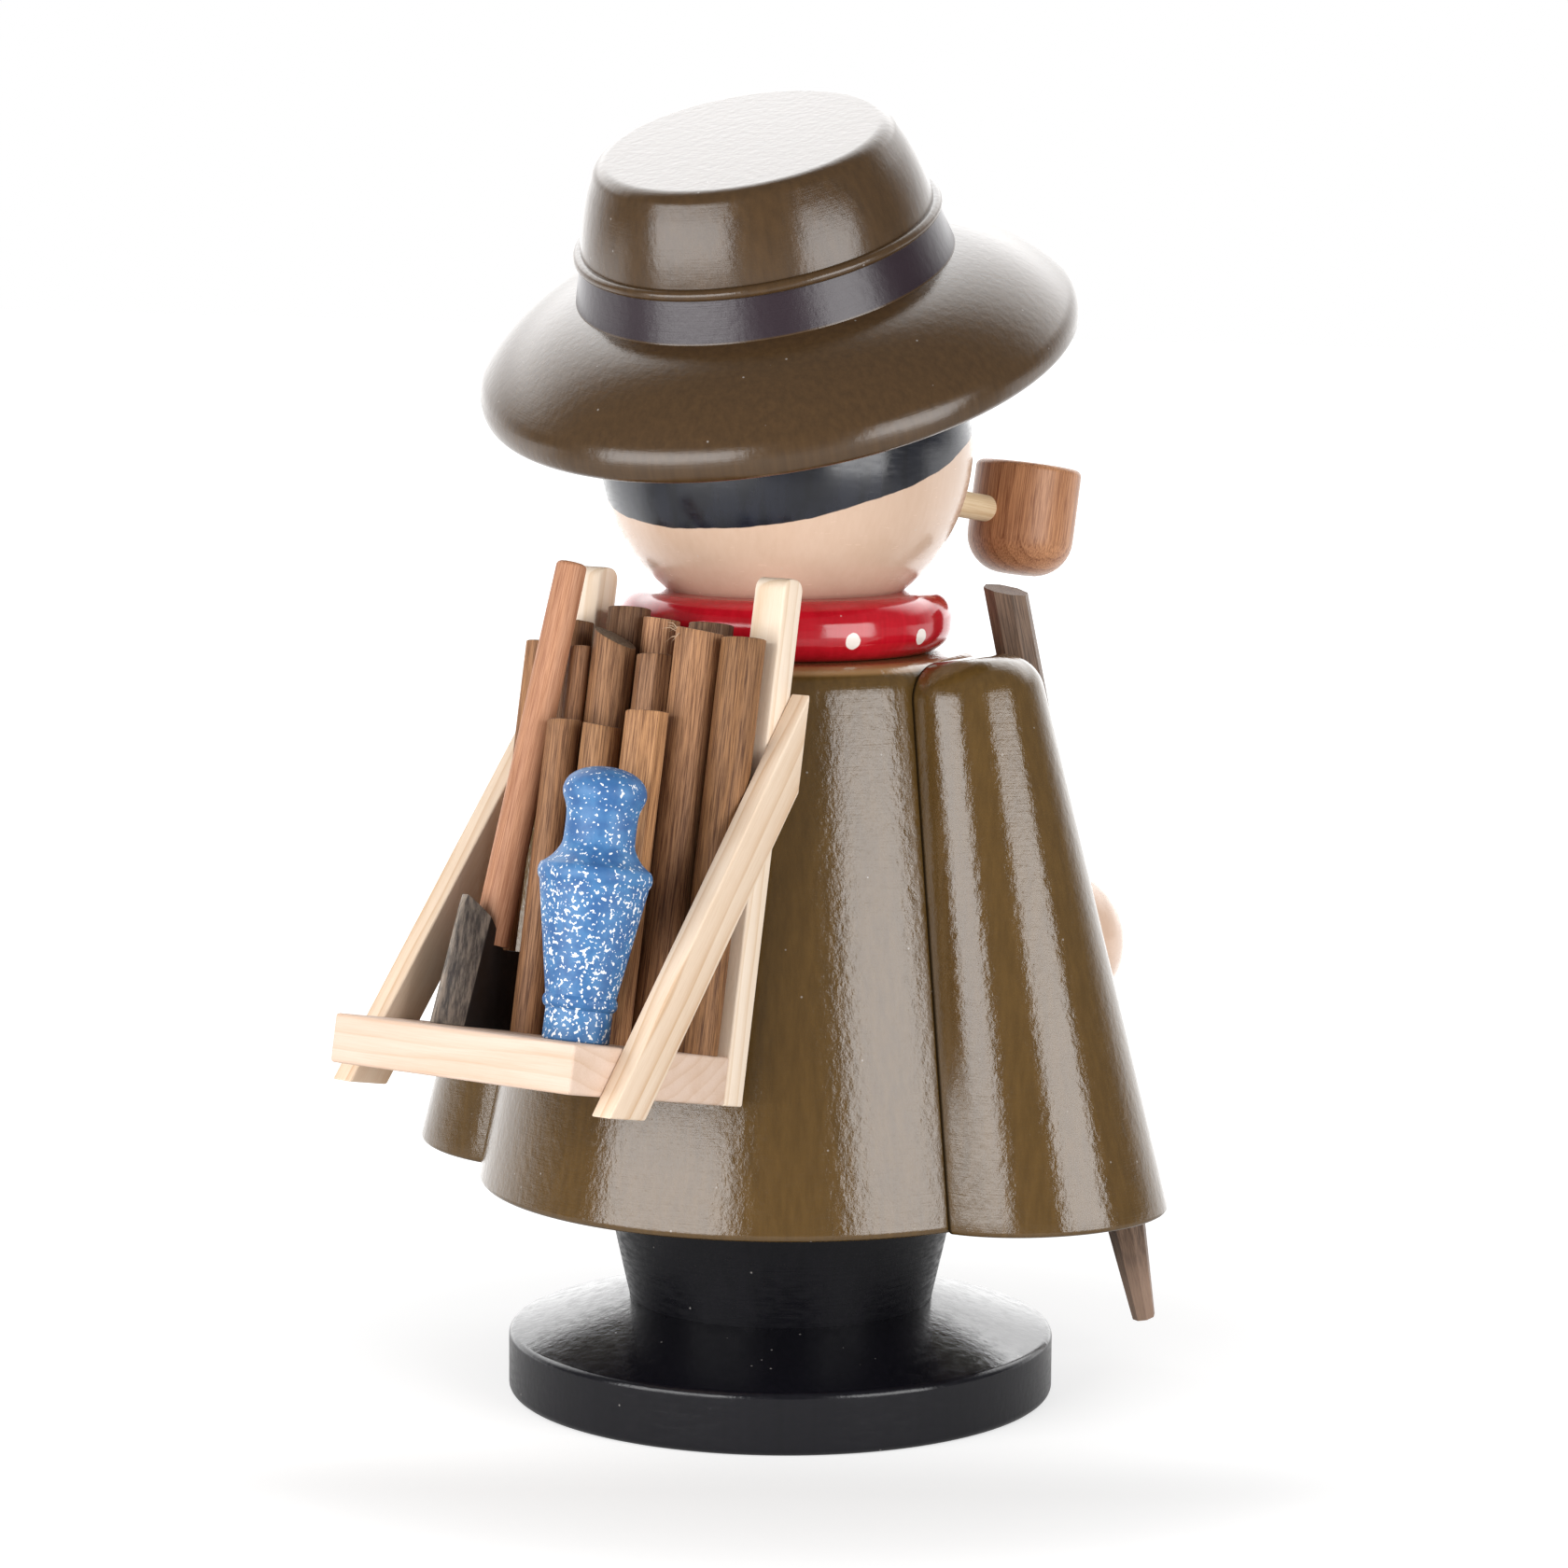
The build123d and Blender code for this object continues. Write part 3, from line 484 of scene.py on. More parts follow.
# Staff: a thin rod whittled with a knife and stained dark, cut to a point below
# and slantwise at the top, where the pale wood shows. It is glued in the hand's bore.
STAFF_TIP = Vector((-28.6, -31.0, 5.5))
STAFF_HEAD = Vector((-20.4, -12.4, 88.6))


def upright_at(foot, top):
    """Place of a piece whose third axis runs from its foot to its top."""
    return Matrix.Translation(foot) @ (top - foot).to_track_quat("Z", "X").to_matrix().to_4x4()


staff_wood, staff_tree, staff_surface, staff_axes, staff_base = timber(
    "staff_wood", tone(124, 100, 82), tone(72, 56, 46), upright_at(STAFF_TIP, STAFF_HEAD),
    spacing=0.8, lines=0.3, fibre=0.8, roughness=0.5)
staff_cut = spread(staff_tree, staff_axes[2], 3.0, 11.0, 0.55, 0.0)
staff_colour = mixed(staff_tree, staff_cut, staff_base, tone(178, 148, 128))
feed(staff_surface.inputs["Base Color"], staff_colour)
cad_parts["staff"].material_slots[0].material = staff_wood

# Neck ring: a small turned ring in red gloss lacquer, with a row of white dots dabbed on by hand.
# The head's tenon goes through it into the coat.
RING_RADIUS = 18.1
RING_FOOT = COAT_TOP
RING_HEIGHT = 6.5
DOT_HEIGHT = 84.4
DOT_STEP = math.radians(30.0)
DOT_START = math.radians(-57.05)
DOT_RADIUS = 0.85
red_lacquer, red_tree, red_surface, red_axes, red_base = lacquer(
    "red_lacquer", tone(190, 22, 38), tone(172, 16, 30))
dot_turn = calc(red_tree, "SUBTRACT", calc(red_tree, "ARCTAN2", red_axes[0], red_axes[1]), DOT_START)
dot_turn = calc(red_tree, "DIVIDE", dot_turn, DOT_STEP)
dot_turn = calc(red_tree, "SUBTRACT", dot_turn, calc(red_tree, "ROUND", dot_turn))
dot_offset = calc(red_tree, "MULTIPLY", dot_turn, DOT_STEP * RING_RADIUS)
dot_rise = calc(red_tree, "SUBTRACT", red_axes[2], DOT_HEIGHT)
dot_away = span(red_tree, *[calc(red_tree, "ABSOLUTE", offset) for offset in (dot_offset, dot_rise)])
dot_wobble = calc(red_tree, "MULTIPLY", grain_of(red_tree, red_axes, (1.2, 1.2, 1.2), detail=2.0), 0.25)
dot_away = calc(red_tree, "ADD", dot_away, dot_wobble)
dot_share = spread(red_tree, dot_away, DOT_RADIUS + 0.08, DOT_RADIUS + 0.2, 1.0, 0.0)
feed(red_surface.inputs["Base Color"], mixed(red_tree, dot_share, red_base, tone(236, 226, 218)))
neck_ring = turned("neck_ring", rounded([
    (NECK_BORE_RADIUS, RING_FOOT, 0),
    (RING_RADIUS, RING_FOOT, 2.9),
    (RING_RADIUS, RING_FOOT + RING_HEIGHT, 2.9),
    (NECK_BORE_RADIUS, RING_FOOT + RING_HEIGHT, 0),
], steps=12, closed=True), red_lacquer, closed=True)
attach(neck_ring, "figure")
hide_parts("scarf_ring")

# Head: a turned ball in skin-coloured lacquer, flattened where the ring and the hat are glued on.
# The hair is one coat of dark paint, brushed on down to a slanting line, and the face is painted.
HEAD_RADIUS = 20.2
HEAD_Z = 104.1
HEAD_STEPS = 96
NECK_Z = 88.5
TENON_RADIUS = 5.5
TENON_FOOT = 75.9
HAT_TILT = math.radians(21.5)
HAT_TURN = math.radians(6.4)
HAT_SHIFT = (-0.93, -0.41, 15.6)
hat_turned = Matrix.Rotation(HAT_TURN, 4, "Z") @ Matrix.Rotation(-HAT_TILT, 4, "X")
hat_place = Matrix.Translation((0, 0, HEAD_Z)) @ hat_turned @ Matrix.Translation(HAT_SHIFT)
face_lacquer, face_tree, face_surface, face_axes, face_base = lacquer(
    "face_lacquer", tone(208, 180, 158), tone(202, 172, 149), roughness=0.2, grain=0.8)
HAIR_TILT = math.radians(19.4)
hair_level = calc(face_tree, "ADD",
                  calc(face_tree, "MULTIPLY", face_axes[1], math.sin(HAIR_TILT)),
                  calc(face_tree, "MULTIPLY", calc(face_tree, "SUBTRACT", face_axes[2], HEAD_Z),
                       math.cos(HAIR_TILT)))
hair_edge = calc(face_tree, "SUBTRACT", grain_of(face_tree, face_axes, (0.16, 0.16, 0.05)), 0.5)
hair_edge = calc(face_tree, "MULTIPLY", hair_edge, 0.9)
hair_share = spread(face_tree, calc(face_tree, "ADD", hair_level, hair_edge), -1.55, -1.42)
hair_brush = grain_of(face_tree, face_axes, (0.55, 0.55, 0.04), detail=4.0)
hair_colour = mixed(face_tree, spread(face_tree, hair_brush, 0.35, 0.7), tone(30, 32, 42), tone(18, 19, 25))


def painted(tree, axes, centre, radii):
    """Share of a painted oval round a point of the face, seen from the front."""
    total = 0.0
    for axis, middle, radius in ((axes[0], centre[0], radii[0]), (axes[2], centre[1], radii[1])):
        offset = calc(tree, "DIVIDE", calc(tree, "SUBTRACT", axis, middle), radius)
        total = calc(tree, "ADD", total, calc(tree, "MULTIPLY", offset, offset))
    front = spread(tree, axes[1], -2.0, -1.0, 1.0, 0.0)
    return calc(tree, "MULTIPLY", calc(tree, "LESS_THAN", total, 1.0), front)


def sliced(bm, point, facing):
    """Cuts away what stands past a plane, closes the cut and returns the faces that close it."""
    whole = bm.verts[:] + bm.edges[:] + bm.faces[:]
    cut = bmesh.ops.bisect_plane(bm, geom=whole, plane_co=point, plane_no=facing, clear_outer=True)
    edges = [item for item in cut["geom_cut"] if isinstance(item, bmesh.types.BMEdge)]
    edges = [edge for edge in edges if len(edge.link_faces) == 1]
    return bmesh.ops.edgeloop_fill(bm, edges=edges)["faces"] if edges else []


face_colour = face_base
for cheek in (-9.5, 9.5):
    rosy = calc(face_tree, "MULTIPLY", painted(face_tree, face_axes, (cheek, HEAD_Z - 4.0), (3.6, 3.2)), 0.35)
    face_colour = mixed(face_tree, rosy, face_colour, tone(205, 95, 85))
for eye in (-5.6, 5.6):
    for centre, radii, colour in (
        ((eye, HEAD_Z + 1.6), (1.25, 1.75), tone(28, 24, 26)),
        # The small white dot in each eye is a painted highlight, a glint on the black.
        ((eye + 0.4, HEAD_Z + 2.3), (0.35, 0.35), tone(240, 240, 240)),
    ):
        face_colour = mixed(face_tree, painted(face_tree, face_axes, centre, radii), face_colour, colour)
face_colour = mixed(face_tree, hair_share, face_colour, hair_colour)
feed(face_surface.inputs["Base Color"], face_colour)

head_outline = [(0, TENON_FOOT), (TENON_RADIUS, TENON_FOOT), (TENON_RADIUS, NECK_Z)]
neck_angle = math.acos((HEAD_Z - NECK_Z) / HEAD_RADIUS)
for step in range(HEAD_STEPS + 1):
    angle = neck_angle + (math.pi - neck_angle) * step / HEAD_STEPS
    head_outline.append((HEAD_RADIUS * math.sin(angle), HEAD_Z - HEAD_RADIUS * math.cos(angle)))
head_outline[-1] = (0, HEAD_Z + HEAD_RADIUS)
head_ball = turned("head_ball", head_outline, face_lacquer)
seat = Matrix.Scale(MM, 4) @ hat_place
bm = bmesh.new()
bm.from_mesh(head_ball.data)
sliced(bm, seat.to_translation(), (seat.to_3x3() @ Vector((0, 0, 1))).normalized())
bmesh.ops.recalc_face_normals(bm, faces=bm.faces)
bm.to_mesh(head_ball.data)
bm.free()
head_ball.data.set_sharp_from_angle(angle=math.radians(SHARP))
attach(head_ball, "figure")
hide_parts("head")

# Nose: a small turned ball in the skin-coloured lacquer,
# glued with a peg in a bore in the middle of the face.
button_nose = ball("button_nose", (0, -HEAD_RADIUS - 0.9, HEAD_Z), 2.6, skin_lacquer, steps=40)
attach(button_nose, "figure")
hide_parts("nose")

# Hat: crown, bead and drooping brim turned from one piece, in brown gloss lacquer,
# with a painted band in a darker colour. It sits on the head's flat, leaning back.


def arc_points(first, middle, last, steps):
    """Points of the arc through three points, without its first point."""
    a, b, c = Vector(first), Vector(middle), Vector(last)
    rises = (b.y - c.y, c.y - a.y, a.y - b.y)
    runs = (c.x - b.x, a.x - c.x, b.x - a.x)
    area = 2 * (a.x * rises[0] + b.x * rises[1] + c.x * rises[2])
    squares = (a.length_squared, b.length_squared, c.length_squared)
    centre = Vector([sum(map(math.prod, zip(squares, sides))) / area for sides in (rises, runs)])
    start = math.atan2(a.y - centre.y, a.x - centre.x)
    way = math.remainder(math.atan2(b.y - centre.y, b.x - centre.x) - start, math.tau)
    sweep = math.atan2(c.y - centre.y, c.x - centre.x) - start
    while way > 0 and sweep < 0:
        sweep += math.tau
    while way < 0 and sweep > 0:
        sweep -= math.tau
    radius = (a - centre).length
    turns = [start + sweep * step / steps for step in range(1, steps + 1)]
    return [centre + radius * Vector((math.cos(turn), math.sin(turn))) for turn in turns]


def between(start, end, shares):
    """Point at the given shares of the way from start to end."""
    return (start[0] + shares[0] * (end[0] - start[0]), start[1] + shares[1] * (end[1] - start[1]))


CROWN_EDGE = (15.7, 19.2)
CROWN_FOOT = (18.9, 10.1)
CROWN_ROUNDING = 1.9
BEAD_TOP = (19.2, 10.1)
BEAD_FOOT = (19.2, 8.9)
BAND_FOOT = (20.4, 4.5)
BRIM_BROW = (31.517, -1.938)
BRIM_EDGE = (32.321, -5.048)
BRIM_FOOT = (31.35, -5.85)
ROLL_END = (29.6, -4.9)
HOLLOW_EDGE = (15.0, 0.0)
crown_arc = arc_points(CROWN_EDGE, between(CROWN_EDGE, CROWN_FOOT, (0.58, 0.44)), CROWN_FOOT, 24)
hat_outline = rounded([
    (0, CROWN_EDGE[1], 0),
    (*CROWN_EDGE, CROWN_ROUNDING),
    (*crown_arc[6], 0),
], steps=14)[:-1] + crown_arc[6:]
hat_outline += [Vector(BEAD_TOP), *arc_points(BEAD_TOP, (19.8, 9.5), BEAD_FOOT, 10), Vector(BAND_FOOT)]
for first, middle, last, steps in (
    (BAND_FOOT, (26.495, 2.207), BRIM_BROW, 40),
    (BRIM_BROW, (32.34, -3.65), BRIM_EDGE, 16),
    (BRIM_EDGE, (31.98, -5.62), BRIM_FOOT, 12),
    (ROLL_END, between(ROLL_END, HOLLOW_EDGE, (0.58, 0.82)), HOLLOW_EDGE, 20),
):
    hat_outline += arc_points(first, middle, last, steps)
hat_outline.append(Vector((0, 0)))
hat_lacquer, hat_tree, hat_surface, hat_axes, hat_base = lacquer(
    "hat_lacquer", tone(80, 59, 36), tone(64, 47, 29), hat_place, roughness=0.2, peel=0.03, rings=0.012,
    grain=0.8)
band_share = calc(hat_tree, "MULTIPLY",
                  spread(hat_tree, hat_axes[2], 4.55, 4.75),
                  spread(hat_tree, hat_axes[2], 8.85, 8.95, 1.0, 0.0))
feed(hat_surface.inputs["Base Color"], mixed(hat_tree, band_share, hat_base, tone(38, 24, 33)))
feed(hat_surface.inputs["Roughness"], spread(hat_tree, band_share, 0.0, 1.0, 0.2, 0.3))
hat = turned("felt_hat", hat_outline, hat_lacquer, hat_place, steps=300)
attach(hat, "figure")
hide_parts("hat")
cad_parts["hat_dowel"].material_slots[0].material = dowel_wood

# Pipe: a small turned bowl in clear varnished wood on a pale stem that goes into the mouth.
PIPE_TURN = math.radians(14.0)
PIPE_FALL = math.radians(9.5)
PIPE_REACH = 17.4
MOUTH_SIDE = 4.7
MOUTH_DROP = 6.3
BOWL_RADIUS = 6.0
BOWL_BEND = 4.4


def along_axes(first, second, third):
    """Turn that takes the three axes to three directions."""
    return Matrix((first, second, third)).transposed().to_4x4()


pipe_ahead = Vector((-math.sin(PIPE_TURN), -math.cos(PIPE_TURN), 0))
pipe_line = pipe_ahead * math.cos(PIPE_FALL) - Vector((0, 0, math.sin(PIPE_FALL)))
pipe_up = pipe_ahead * math.sin(PIPE_FALL) + Vector((0, 0, math.cos(PIPE_FALL)))
mouth_depth = math.sqrt(HEAD_RADIUS ** 2 - MOUTH_DROP ** 2 - MOUTH_SIDE ** 2)
bowl_centre = Vector((-MOUTH_SIDE, -mouth_depth, HEAD_Z - MOUTH_DROP)) + pipe_line * PIPE_REACH
bowl_place = Matrix.Translation(bowl_centre) @ along_axes(pipe_line, pipe_up.cross(pipe_line), pipe_up)
bowl_wood = timber("bowl_wood", tone(202, 146, 104), tone(128, 78, 50), bowl_place, pith=(3.0, 14.0),
                   spacing=1.1, lines=0.45, fibre=0.7, roughness=0.38, relief=0.008)[0]
bowl_outline = [Vector((0, -6.8)), Vector((BOWL_RADIUS - BOWL_BEND, -6.8))]
for turn in [math.radians(9 * step) for step in range(1, 11)]:
    bend = Vector((math.sin(turn), -math.cos(turn))) * BOWL_BEND
    bowl_outline.append(Vector((BOWL_RADIUS - BOWL_BEND, -2.4)) + bend)
bowl_outline += rounded([
    (BOWL_RADIUS, -2.0, 0),
    (BOWL_RADIUS, 5.7, 0.7),
    (2.45, 5.7, 0.35),
    (2.45, -1.3, 0),
])[1:]
bowl_outline.append(Vector((0, -1.3)))
pipe_bowl = turned("smoking_bowl", bowl_outline, bowl_wood, bowl_place, steps=128)
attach(pipe_bowl, "figure")
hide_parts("pipe_bowl")
stem_place = bowl_place @ Matrix.Rotation(math.pi / 2, 4, "Y")
stem_wood = timber("stem_wood", tone(228, 205, 170), tone(196, 162, 120), stem_place)[0]
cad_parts["pipe_stem"].material_slots[0].material = stem_wood

# Carrying frame: planed laths of pine, glued and left bare: a thick shelf, two uprights
# with rounded tops, a rail dished to the coat between them and a diagonal strut on each side.
FRAME_ORIGIN = Vector((0, 59.409, 46.387))
OUT = Vector((0, math.cos(COAT_SLOPE), math.sin(COAT_SLOPE)))
UP = Vector((0, -math.sin(COAT_SLOPE), math.cos(COAT_SLOPE)))
ACROSS = Vector((1, 0, 0))
SHELF_TOP = 2.5
SHELF_EDGE = -27.3
POST_BACK = -30.7
POST_TOP = 52.1
POST_ROUNDING = 1.3
HALF_WIDTH = 15.0
STRUT_RUN = 26.7
STRUT_FALL = 44.9
frame_place = Matrix.Translation(FRAME_ORIGIN) @ along_axes(ACROSS, OUT, UP)
upright_pine = timber("upright_pine", tone(242, 226, 208), tone(218, 188, 154), frame_place,
                      pith=(-20.0, 9.0), spacing=1.6, lines=0.7, fibre=0.18)[0]
shelf_pine = timber("shelf_pine", tone(222, 198, 181), tone(197, 161, 129),
                    Matrix.Translation(FRAME_ORIGIN) @ along_axes(OUT, UP, ACROSS),
                    pith=(-8.0, 22.0), spacing=1.5, lines=0.42, fibre=0.18)[0]
strut_line = (OUT * STRUT_RUN - UP * STRUT_FALL).normalized()
strut_axes = along_axes(ACROSS, strut_line.cross(ACROSS), strut_line)
strut_pine = timber("strut_pine", tone(232, 212, 190), tone(204, 168, 132),
                    Matrix.Translation(FRAME_ORIGIN) @ strut_axes,
                    pith=(-22.0, 4.0), spacing=1.5, lines=0.8, fibre=0.2)[0]


def extruded(bm, corners, depth):
    """A flat outline given a depth."""
    face = bm.faces.new([bm.verts.new(corner) for corner in corners])
    grown = bmesh.ops.extrude_face_region(bm, geom=[face])["geom"]
    bmesh.ops.translate(bm, vec=depth, verts=[item for item in grown if isinstance(item, bmesh.types.BMVert)])


def broken(bm, offset, segments, edges=None):
    """Takes the sharpness off the edges, all of them or those given."""
    bmesh.ops.bevel(bm, geom=edges or bm.edges[:], offset=offset, segments=segments, profile=0.5, material=-1,
                    affect="EDGES")


def slab(name, corners, depth, place, material, edge=0.28):
    """A planed lath: an outline in its own plane given a depth, its edges broken."""
    bm = bmesh.new()
    extruded(bm, [(x, y, 0) for x, y in corners], (0, 0, depth))
    broken(bm, edge, 3)
    return mesh_piece(name, bm, [material], place, 50.0)


lath_plane = along_axes(Vector((0, 1, 0)), Vector((0, 0, 1)), ACROSS)
shelf = slab("load_shelf", [
    (0, -SHELF_TOP),
    (0, SHELF_TOP),
    (SHELF_EDGE, SHELF_TOP),
    (SHELF_EDGE, -SHELF_TOP),
], 2 * HALF_WIDTH, frame_place @ Matrix.Translation((-HALF_WIDTH, 0, 0)) @ lath_plane, shelf_pine, 0.35)
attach(shelf, "figure")
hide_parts("shelf_board")

corner = []
for turn in [math.radians(15 * step) for step in range(7)]:
    corner.append((POST_ROUNDING * (1 - math.cos(turn)), POST_TOP - POST_ROUNDING * (1 - math.sin(turn))))
post_outline = [(POST_BACK, -SHELF_TOP)]
post_outline += [(POST_BACK + x, y) for x, y in corner]
post_outline += [(SHELF_EDGE - x, y) for x, y in reversed(corner)]
post_outline += [(SHELF_EDGE, -SHELF_TOP)]
for name, start, node in (("upright_right", -HALF_WIDTH, "right_post"), ("upright_left", 8.5, "left_post")):
    place = frame_place @ Matrix.Translation((start, 0, 0)) @ lath_plane
    upright = slab(name, post_outline, 3.8, place, upright_pine, 0.25)
    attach(upright, "figure")
    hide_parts(node)
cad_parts["cross_rail"].material_slots[0].material = shelf_pine

STRUT_WIDTH = 2.4
STRUT_OUTLINE = [
    (POST_BACK, 38.0),
    (-4.0, -6.9),
    (-10.1, -6.9),
    (POST_BACK, 38.0 - STRUT_FALL / STRUT_RUN * 6.1),
]
for name, side, skew, node in (("strut_right", -1, 0.0, "right_strut"), ("strut_left", 1, 1.2, "left_strut")):
    lean = math.radians(skew)
    facing = Vector((math.cos(lean), 0, math.sin(lean)))
    lath = along_axes(Vector((0, 1, 0)), facing.cross(Vector((0, 1, 0))), facing)
    start = HALF_WIDTH if side > 0 else -HALF_WIDTH - STRUT_WIDTH
    place = frame_place @ Matrix.Translation((start, 0, SHELF_TOP)) @ lath
    brace = slab(name, STRUT_OUTLINE, STRUT_WIDTH, place, strut_pine, 0.22)
    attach(brace, "figure")
    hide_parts(node)

# Sticks: thirteen lengths of dark twig and dowel, sawn off square or askew,
# that stand on the shelf in three rows. The row at the coat is cut flat on that side.
STICK_RADIUS = BASE_RADIUS * 0.0767
COAT_LINE = -30.03
LOAD_HEIGHT = 48.0
STICK_SIDES = 48
STICK_LEVELS = 25
# Across, out and girth in stick radii, share of the load's height, sides (0 is round), slant in degrees.
STICKS = [
    (5.57, 2.67, 0.61, 0.852, 0, 4),
    (4.04, 2.01, 0.76, 0.906, 0, -3),
    (2.62, 3.49, 0.50, 0.844, 0, 6),
    (1.26, 2.80, 1.00, 0.871, 0, -24),
    (2.13, 0.75, 1.00, 0.946, 0, 3),
    (0.26, 0.75, 0.86, 0.927, 0, -2),
    (-2.48, 0.75, 1.04, 0.923, 0, 2),
    (-1.07, 2.80, 0.89, 0.840, 7, 4),
    (-3.30, 2.80, 1.09, 0.900, 0, -5),
    (-5.48, 2.45, 1.02, 0.890, 0, 3),
    (1.83, 5.14, 0.78, 0.677, 0, 5),
    (-0.27, 5.14, 0.89, 0.673, 0, -4),
    (-2.61, 5.14, 1.00, 0.710, 8, 3),
]
STICK_TONES = [
    (178, 129, 87), (152, 109, 74), (160, 114, 78), (168, 123, 85), (145, 107, 76), (222, 168, 124),
    (140, 105, 76), (165, 121, 85), (182, 134, 94), (159, 114, 73), (165, 119, 81), (172, 126, 85),
    (200, 148, 101),
]
TORN_STICK = 8
# Direction in radians, then drop below the stick's end, reach, lift and bend in mm.
TORN_FIBRES = [
    (0.2, 0.3, 1.5, 0.5, 0.3),
    (0.5, 0.8, 1.2, -0.9, -0.25),
    (0.8, 0.2, 1.3, 0.6, 0.2),
    (1.1, 0.5, 0.9, -1.2, 0.3),
    (0.0, 0.9, 1.0, 0.7, -0.2),
    (0.65, 0.4, 1.7, 0.1, 0.35),
    (0.35, 0.1, 1.0, -0.4, -0.3),
]
torn_wood = timber("torn_fibre", tone(222, 196, 168), tone(180, 150, 120), frame_place, roughness=0.75)[0]
sawn_wood = timber("sawn_end", tone(140, 120, 100), tone(92, 76, 62), frame_place, spacing=0.7, lines=0.4,
                   fibre=0.6, fine=3.0, roughness=0.75)[0]
for number, (across, out, girth, height, sides, slant) in enumerate(STICKS):
    middle = (across * STICK_RADIUS, COAT_LINE + out * STICK_RADIUS)
    radius = girth * STICK_RADIUS
    top = height * LOAD_HEIGHT
    light = STICK_TONES[number]
    bark = timber(
        f"stick_wood_{number + 1:02d}", tone(*light), tone(light[0] * 0.53, light[1] * 0.46, light[2] * 0.43),
        frame_place @ Matrix.Translation((middle[0], middle[1], 13.0 * number)),
        pith=(1.5, 2.5), spacing=0.9, lines=0.3, fibre=0.85, fine=7.5, roughness=0.6, relief=0.035)[0]
    bm = bmesh.new()
    rings = []
    for level in range(STICK_LEVELS + 1):
        z = SHELF_TOP + (top + radius) * level / STICK_LEVELS
        rings.append([])
        for turn in [math.tau * step / STICK_SIDES for step in range(STICK_SIDES)]:
            reach = radius
            if sides:
                half = math.pi / sides
                reach *= math.cos(half) / math.cos((turn + half) % (2 * half) - half)
            wave = noise.noise(Vector((math.cos(turn) * 1.3 + number * 7, math.sin(turn) * 1.3, z * 0.07)))
            reach *= 1 - 0.018 * (1 + wave)
            point = (middle[0] + reach * math.cos(turn), middle[1] + reach * math.sin(turn), z)
            rings[-1].append(bm.verts.new(point))
    skinned(bm, rings)
    bm.faces.new(rings[0])
    bm.faces.new(rings[-1])
    lean = math.radians(slant)
    for origin, facing, paint in (
        ((middle[0], middle[1], SHELF_TOP + top), (math.sin(lean), 0, math.cos(lean)), 1),
        ((0, COAT_LINE + 0.1, 0), (0, -1, 0), 0),
    ):
        for face in sliced(bm, origin, facing):
            face.material_index = paint
    caps = [face for face in bm.faces if face.material_index == 1]
    if caps:
        broken(bm, 0.12, 2, list({edge for face in caps for edge in face.edges}))
    for turn, rise, reach, lift, width in TORN_FIBRES if number == TORN_STICK else ():
        way = Vector((math.cos(turn), math.sin(turn), 0))
        across_way = Vector((-way.y, way.x, 0))
        root = Vector((middle[0], middle[1], SHELF_TOP + top - rise)) + way * (radius * 0.9)
        tip = root + way * reach + Vector((0, 0, lift))
        bend = (root + tip) / 2 + across_way * width + Vector((0, 0, 0.25))
        loops = []
        for point, half in ((root, 0.15), (bend, 0.11)):
            side, over = across_way * half, Vector((0, 0, half / 2))
            loops.append([bm.verts.new(point + corner) for corner in (side, over, -side, -over)])
        end = bm.verts.new(tip)
        bm.faces.new(loops[0][::-1]).material_index = 2
        skinned(bm, loops, 2)
        for first, second in zip(loops[1], loops[1][1:] + loops[1][:1]):
            bm.faces.new((first, second, end)).material_index = 2
    twig = mesh_piece(f"twig_{number + 1:02d}", bm, [bark, sawn_wood, torn_wood], frame_place, 30.0)
    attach(twig, "figure")
    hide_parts(f"stick_{number + 1:02d}")

# Axe: a reddish turned handle, its tenon in the eye of a black painted wooden head,
# which is ground to a cutting edge. It stands head down on the shelf.
AXE_MIDDLE = 9.5
AXE_WIDTH = 3.8
handle_foot = frame_place @ Vector((AXE_MIDDLE, -15.8, SHELF_TOP))
handle_top = frame_place @ Vector((AXE_MIDDLE - 2.4, -20.2, SHELF_TOP + 49.0))
handle_place = upright_at(handle_foot, handle_top)
handle_length = (handle_top - handle_foot).length
handle_wood = timber("handle_wood", tone(198, 146, 112), tone(146, 94, 66), handle_place, spacing=0.9,
                     lines=0.3, fibre=0.7, fine=9.0, roughness=0.55)[0]
handle = turned("axe_shaft", rounded([
    (0, 0.4, 0),
    (1.2, 0.4, 0),
    (1.2, 8.6, 0),
    (1.95, 8.6, 0),
    (1.6, handle_length, 0.5),
    (0, handle_length, 0),
]), handle_wood, handle_place, steps=64)
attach(handle, "figure")
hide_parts("axe_handle")

EDGE_LINE = (0.9792, 0.2029)
EDGE_FOOT = -8.8
EDGE_WIDTH = 3.1
iron_paint, iron_tree, iron_surface = shader("iron_paint")
iron_axes = own_axes(iron_tree, frame_place)
iron_wear = grain_of(iron_tree, iron_axes, (0.9, 0.9, 0.9), detail=5.0, roughness=0.7)
iron_scratch = grain_of(iron_tree, iron_axes, (3.0, 1.6, 0.3), detail=5.0, roughness=0.7)
iron_edge_line = along(iron_tree, joined(iron_tree, iron_axes), (0, *EDGE_LINE))
ground_level = EDGE_LINE[0] * EDGE_FOOT + EDGE_LINE[1] * SHELF_TOP - EDGE_WIDTH
iron_ground = spread(iron_tree, iron_edge_line, ground_level, ground_level + 0.1)
iron_colour = mixed(iron_tree, spread(iron_tree, iron_wear, 0.4, 0.7), tone(26, 25, 27), tone(40, 38, 39))
iron_scratch = spread(iron_tree, iron_scratch, 0.35, 0.65)
iron_bright = mixed(iron_tree, iron_scratch, tone(150, 136, 122), tone(74, 68, 64))
feed(iron_surface.inputs["Base Color"], mixed(iron_tree, iron_ground, iron_colour, iron_bright))
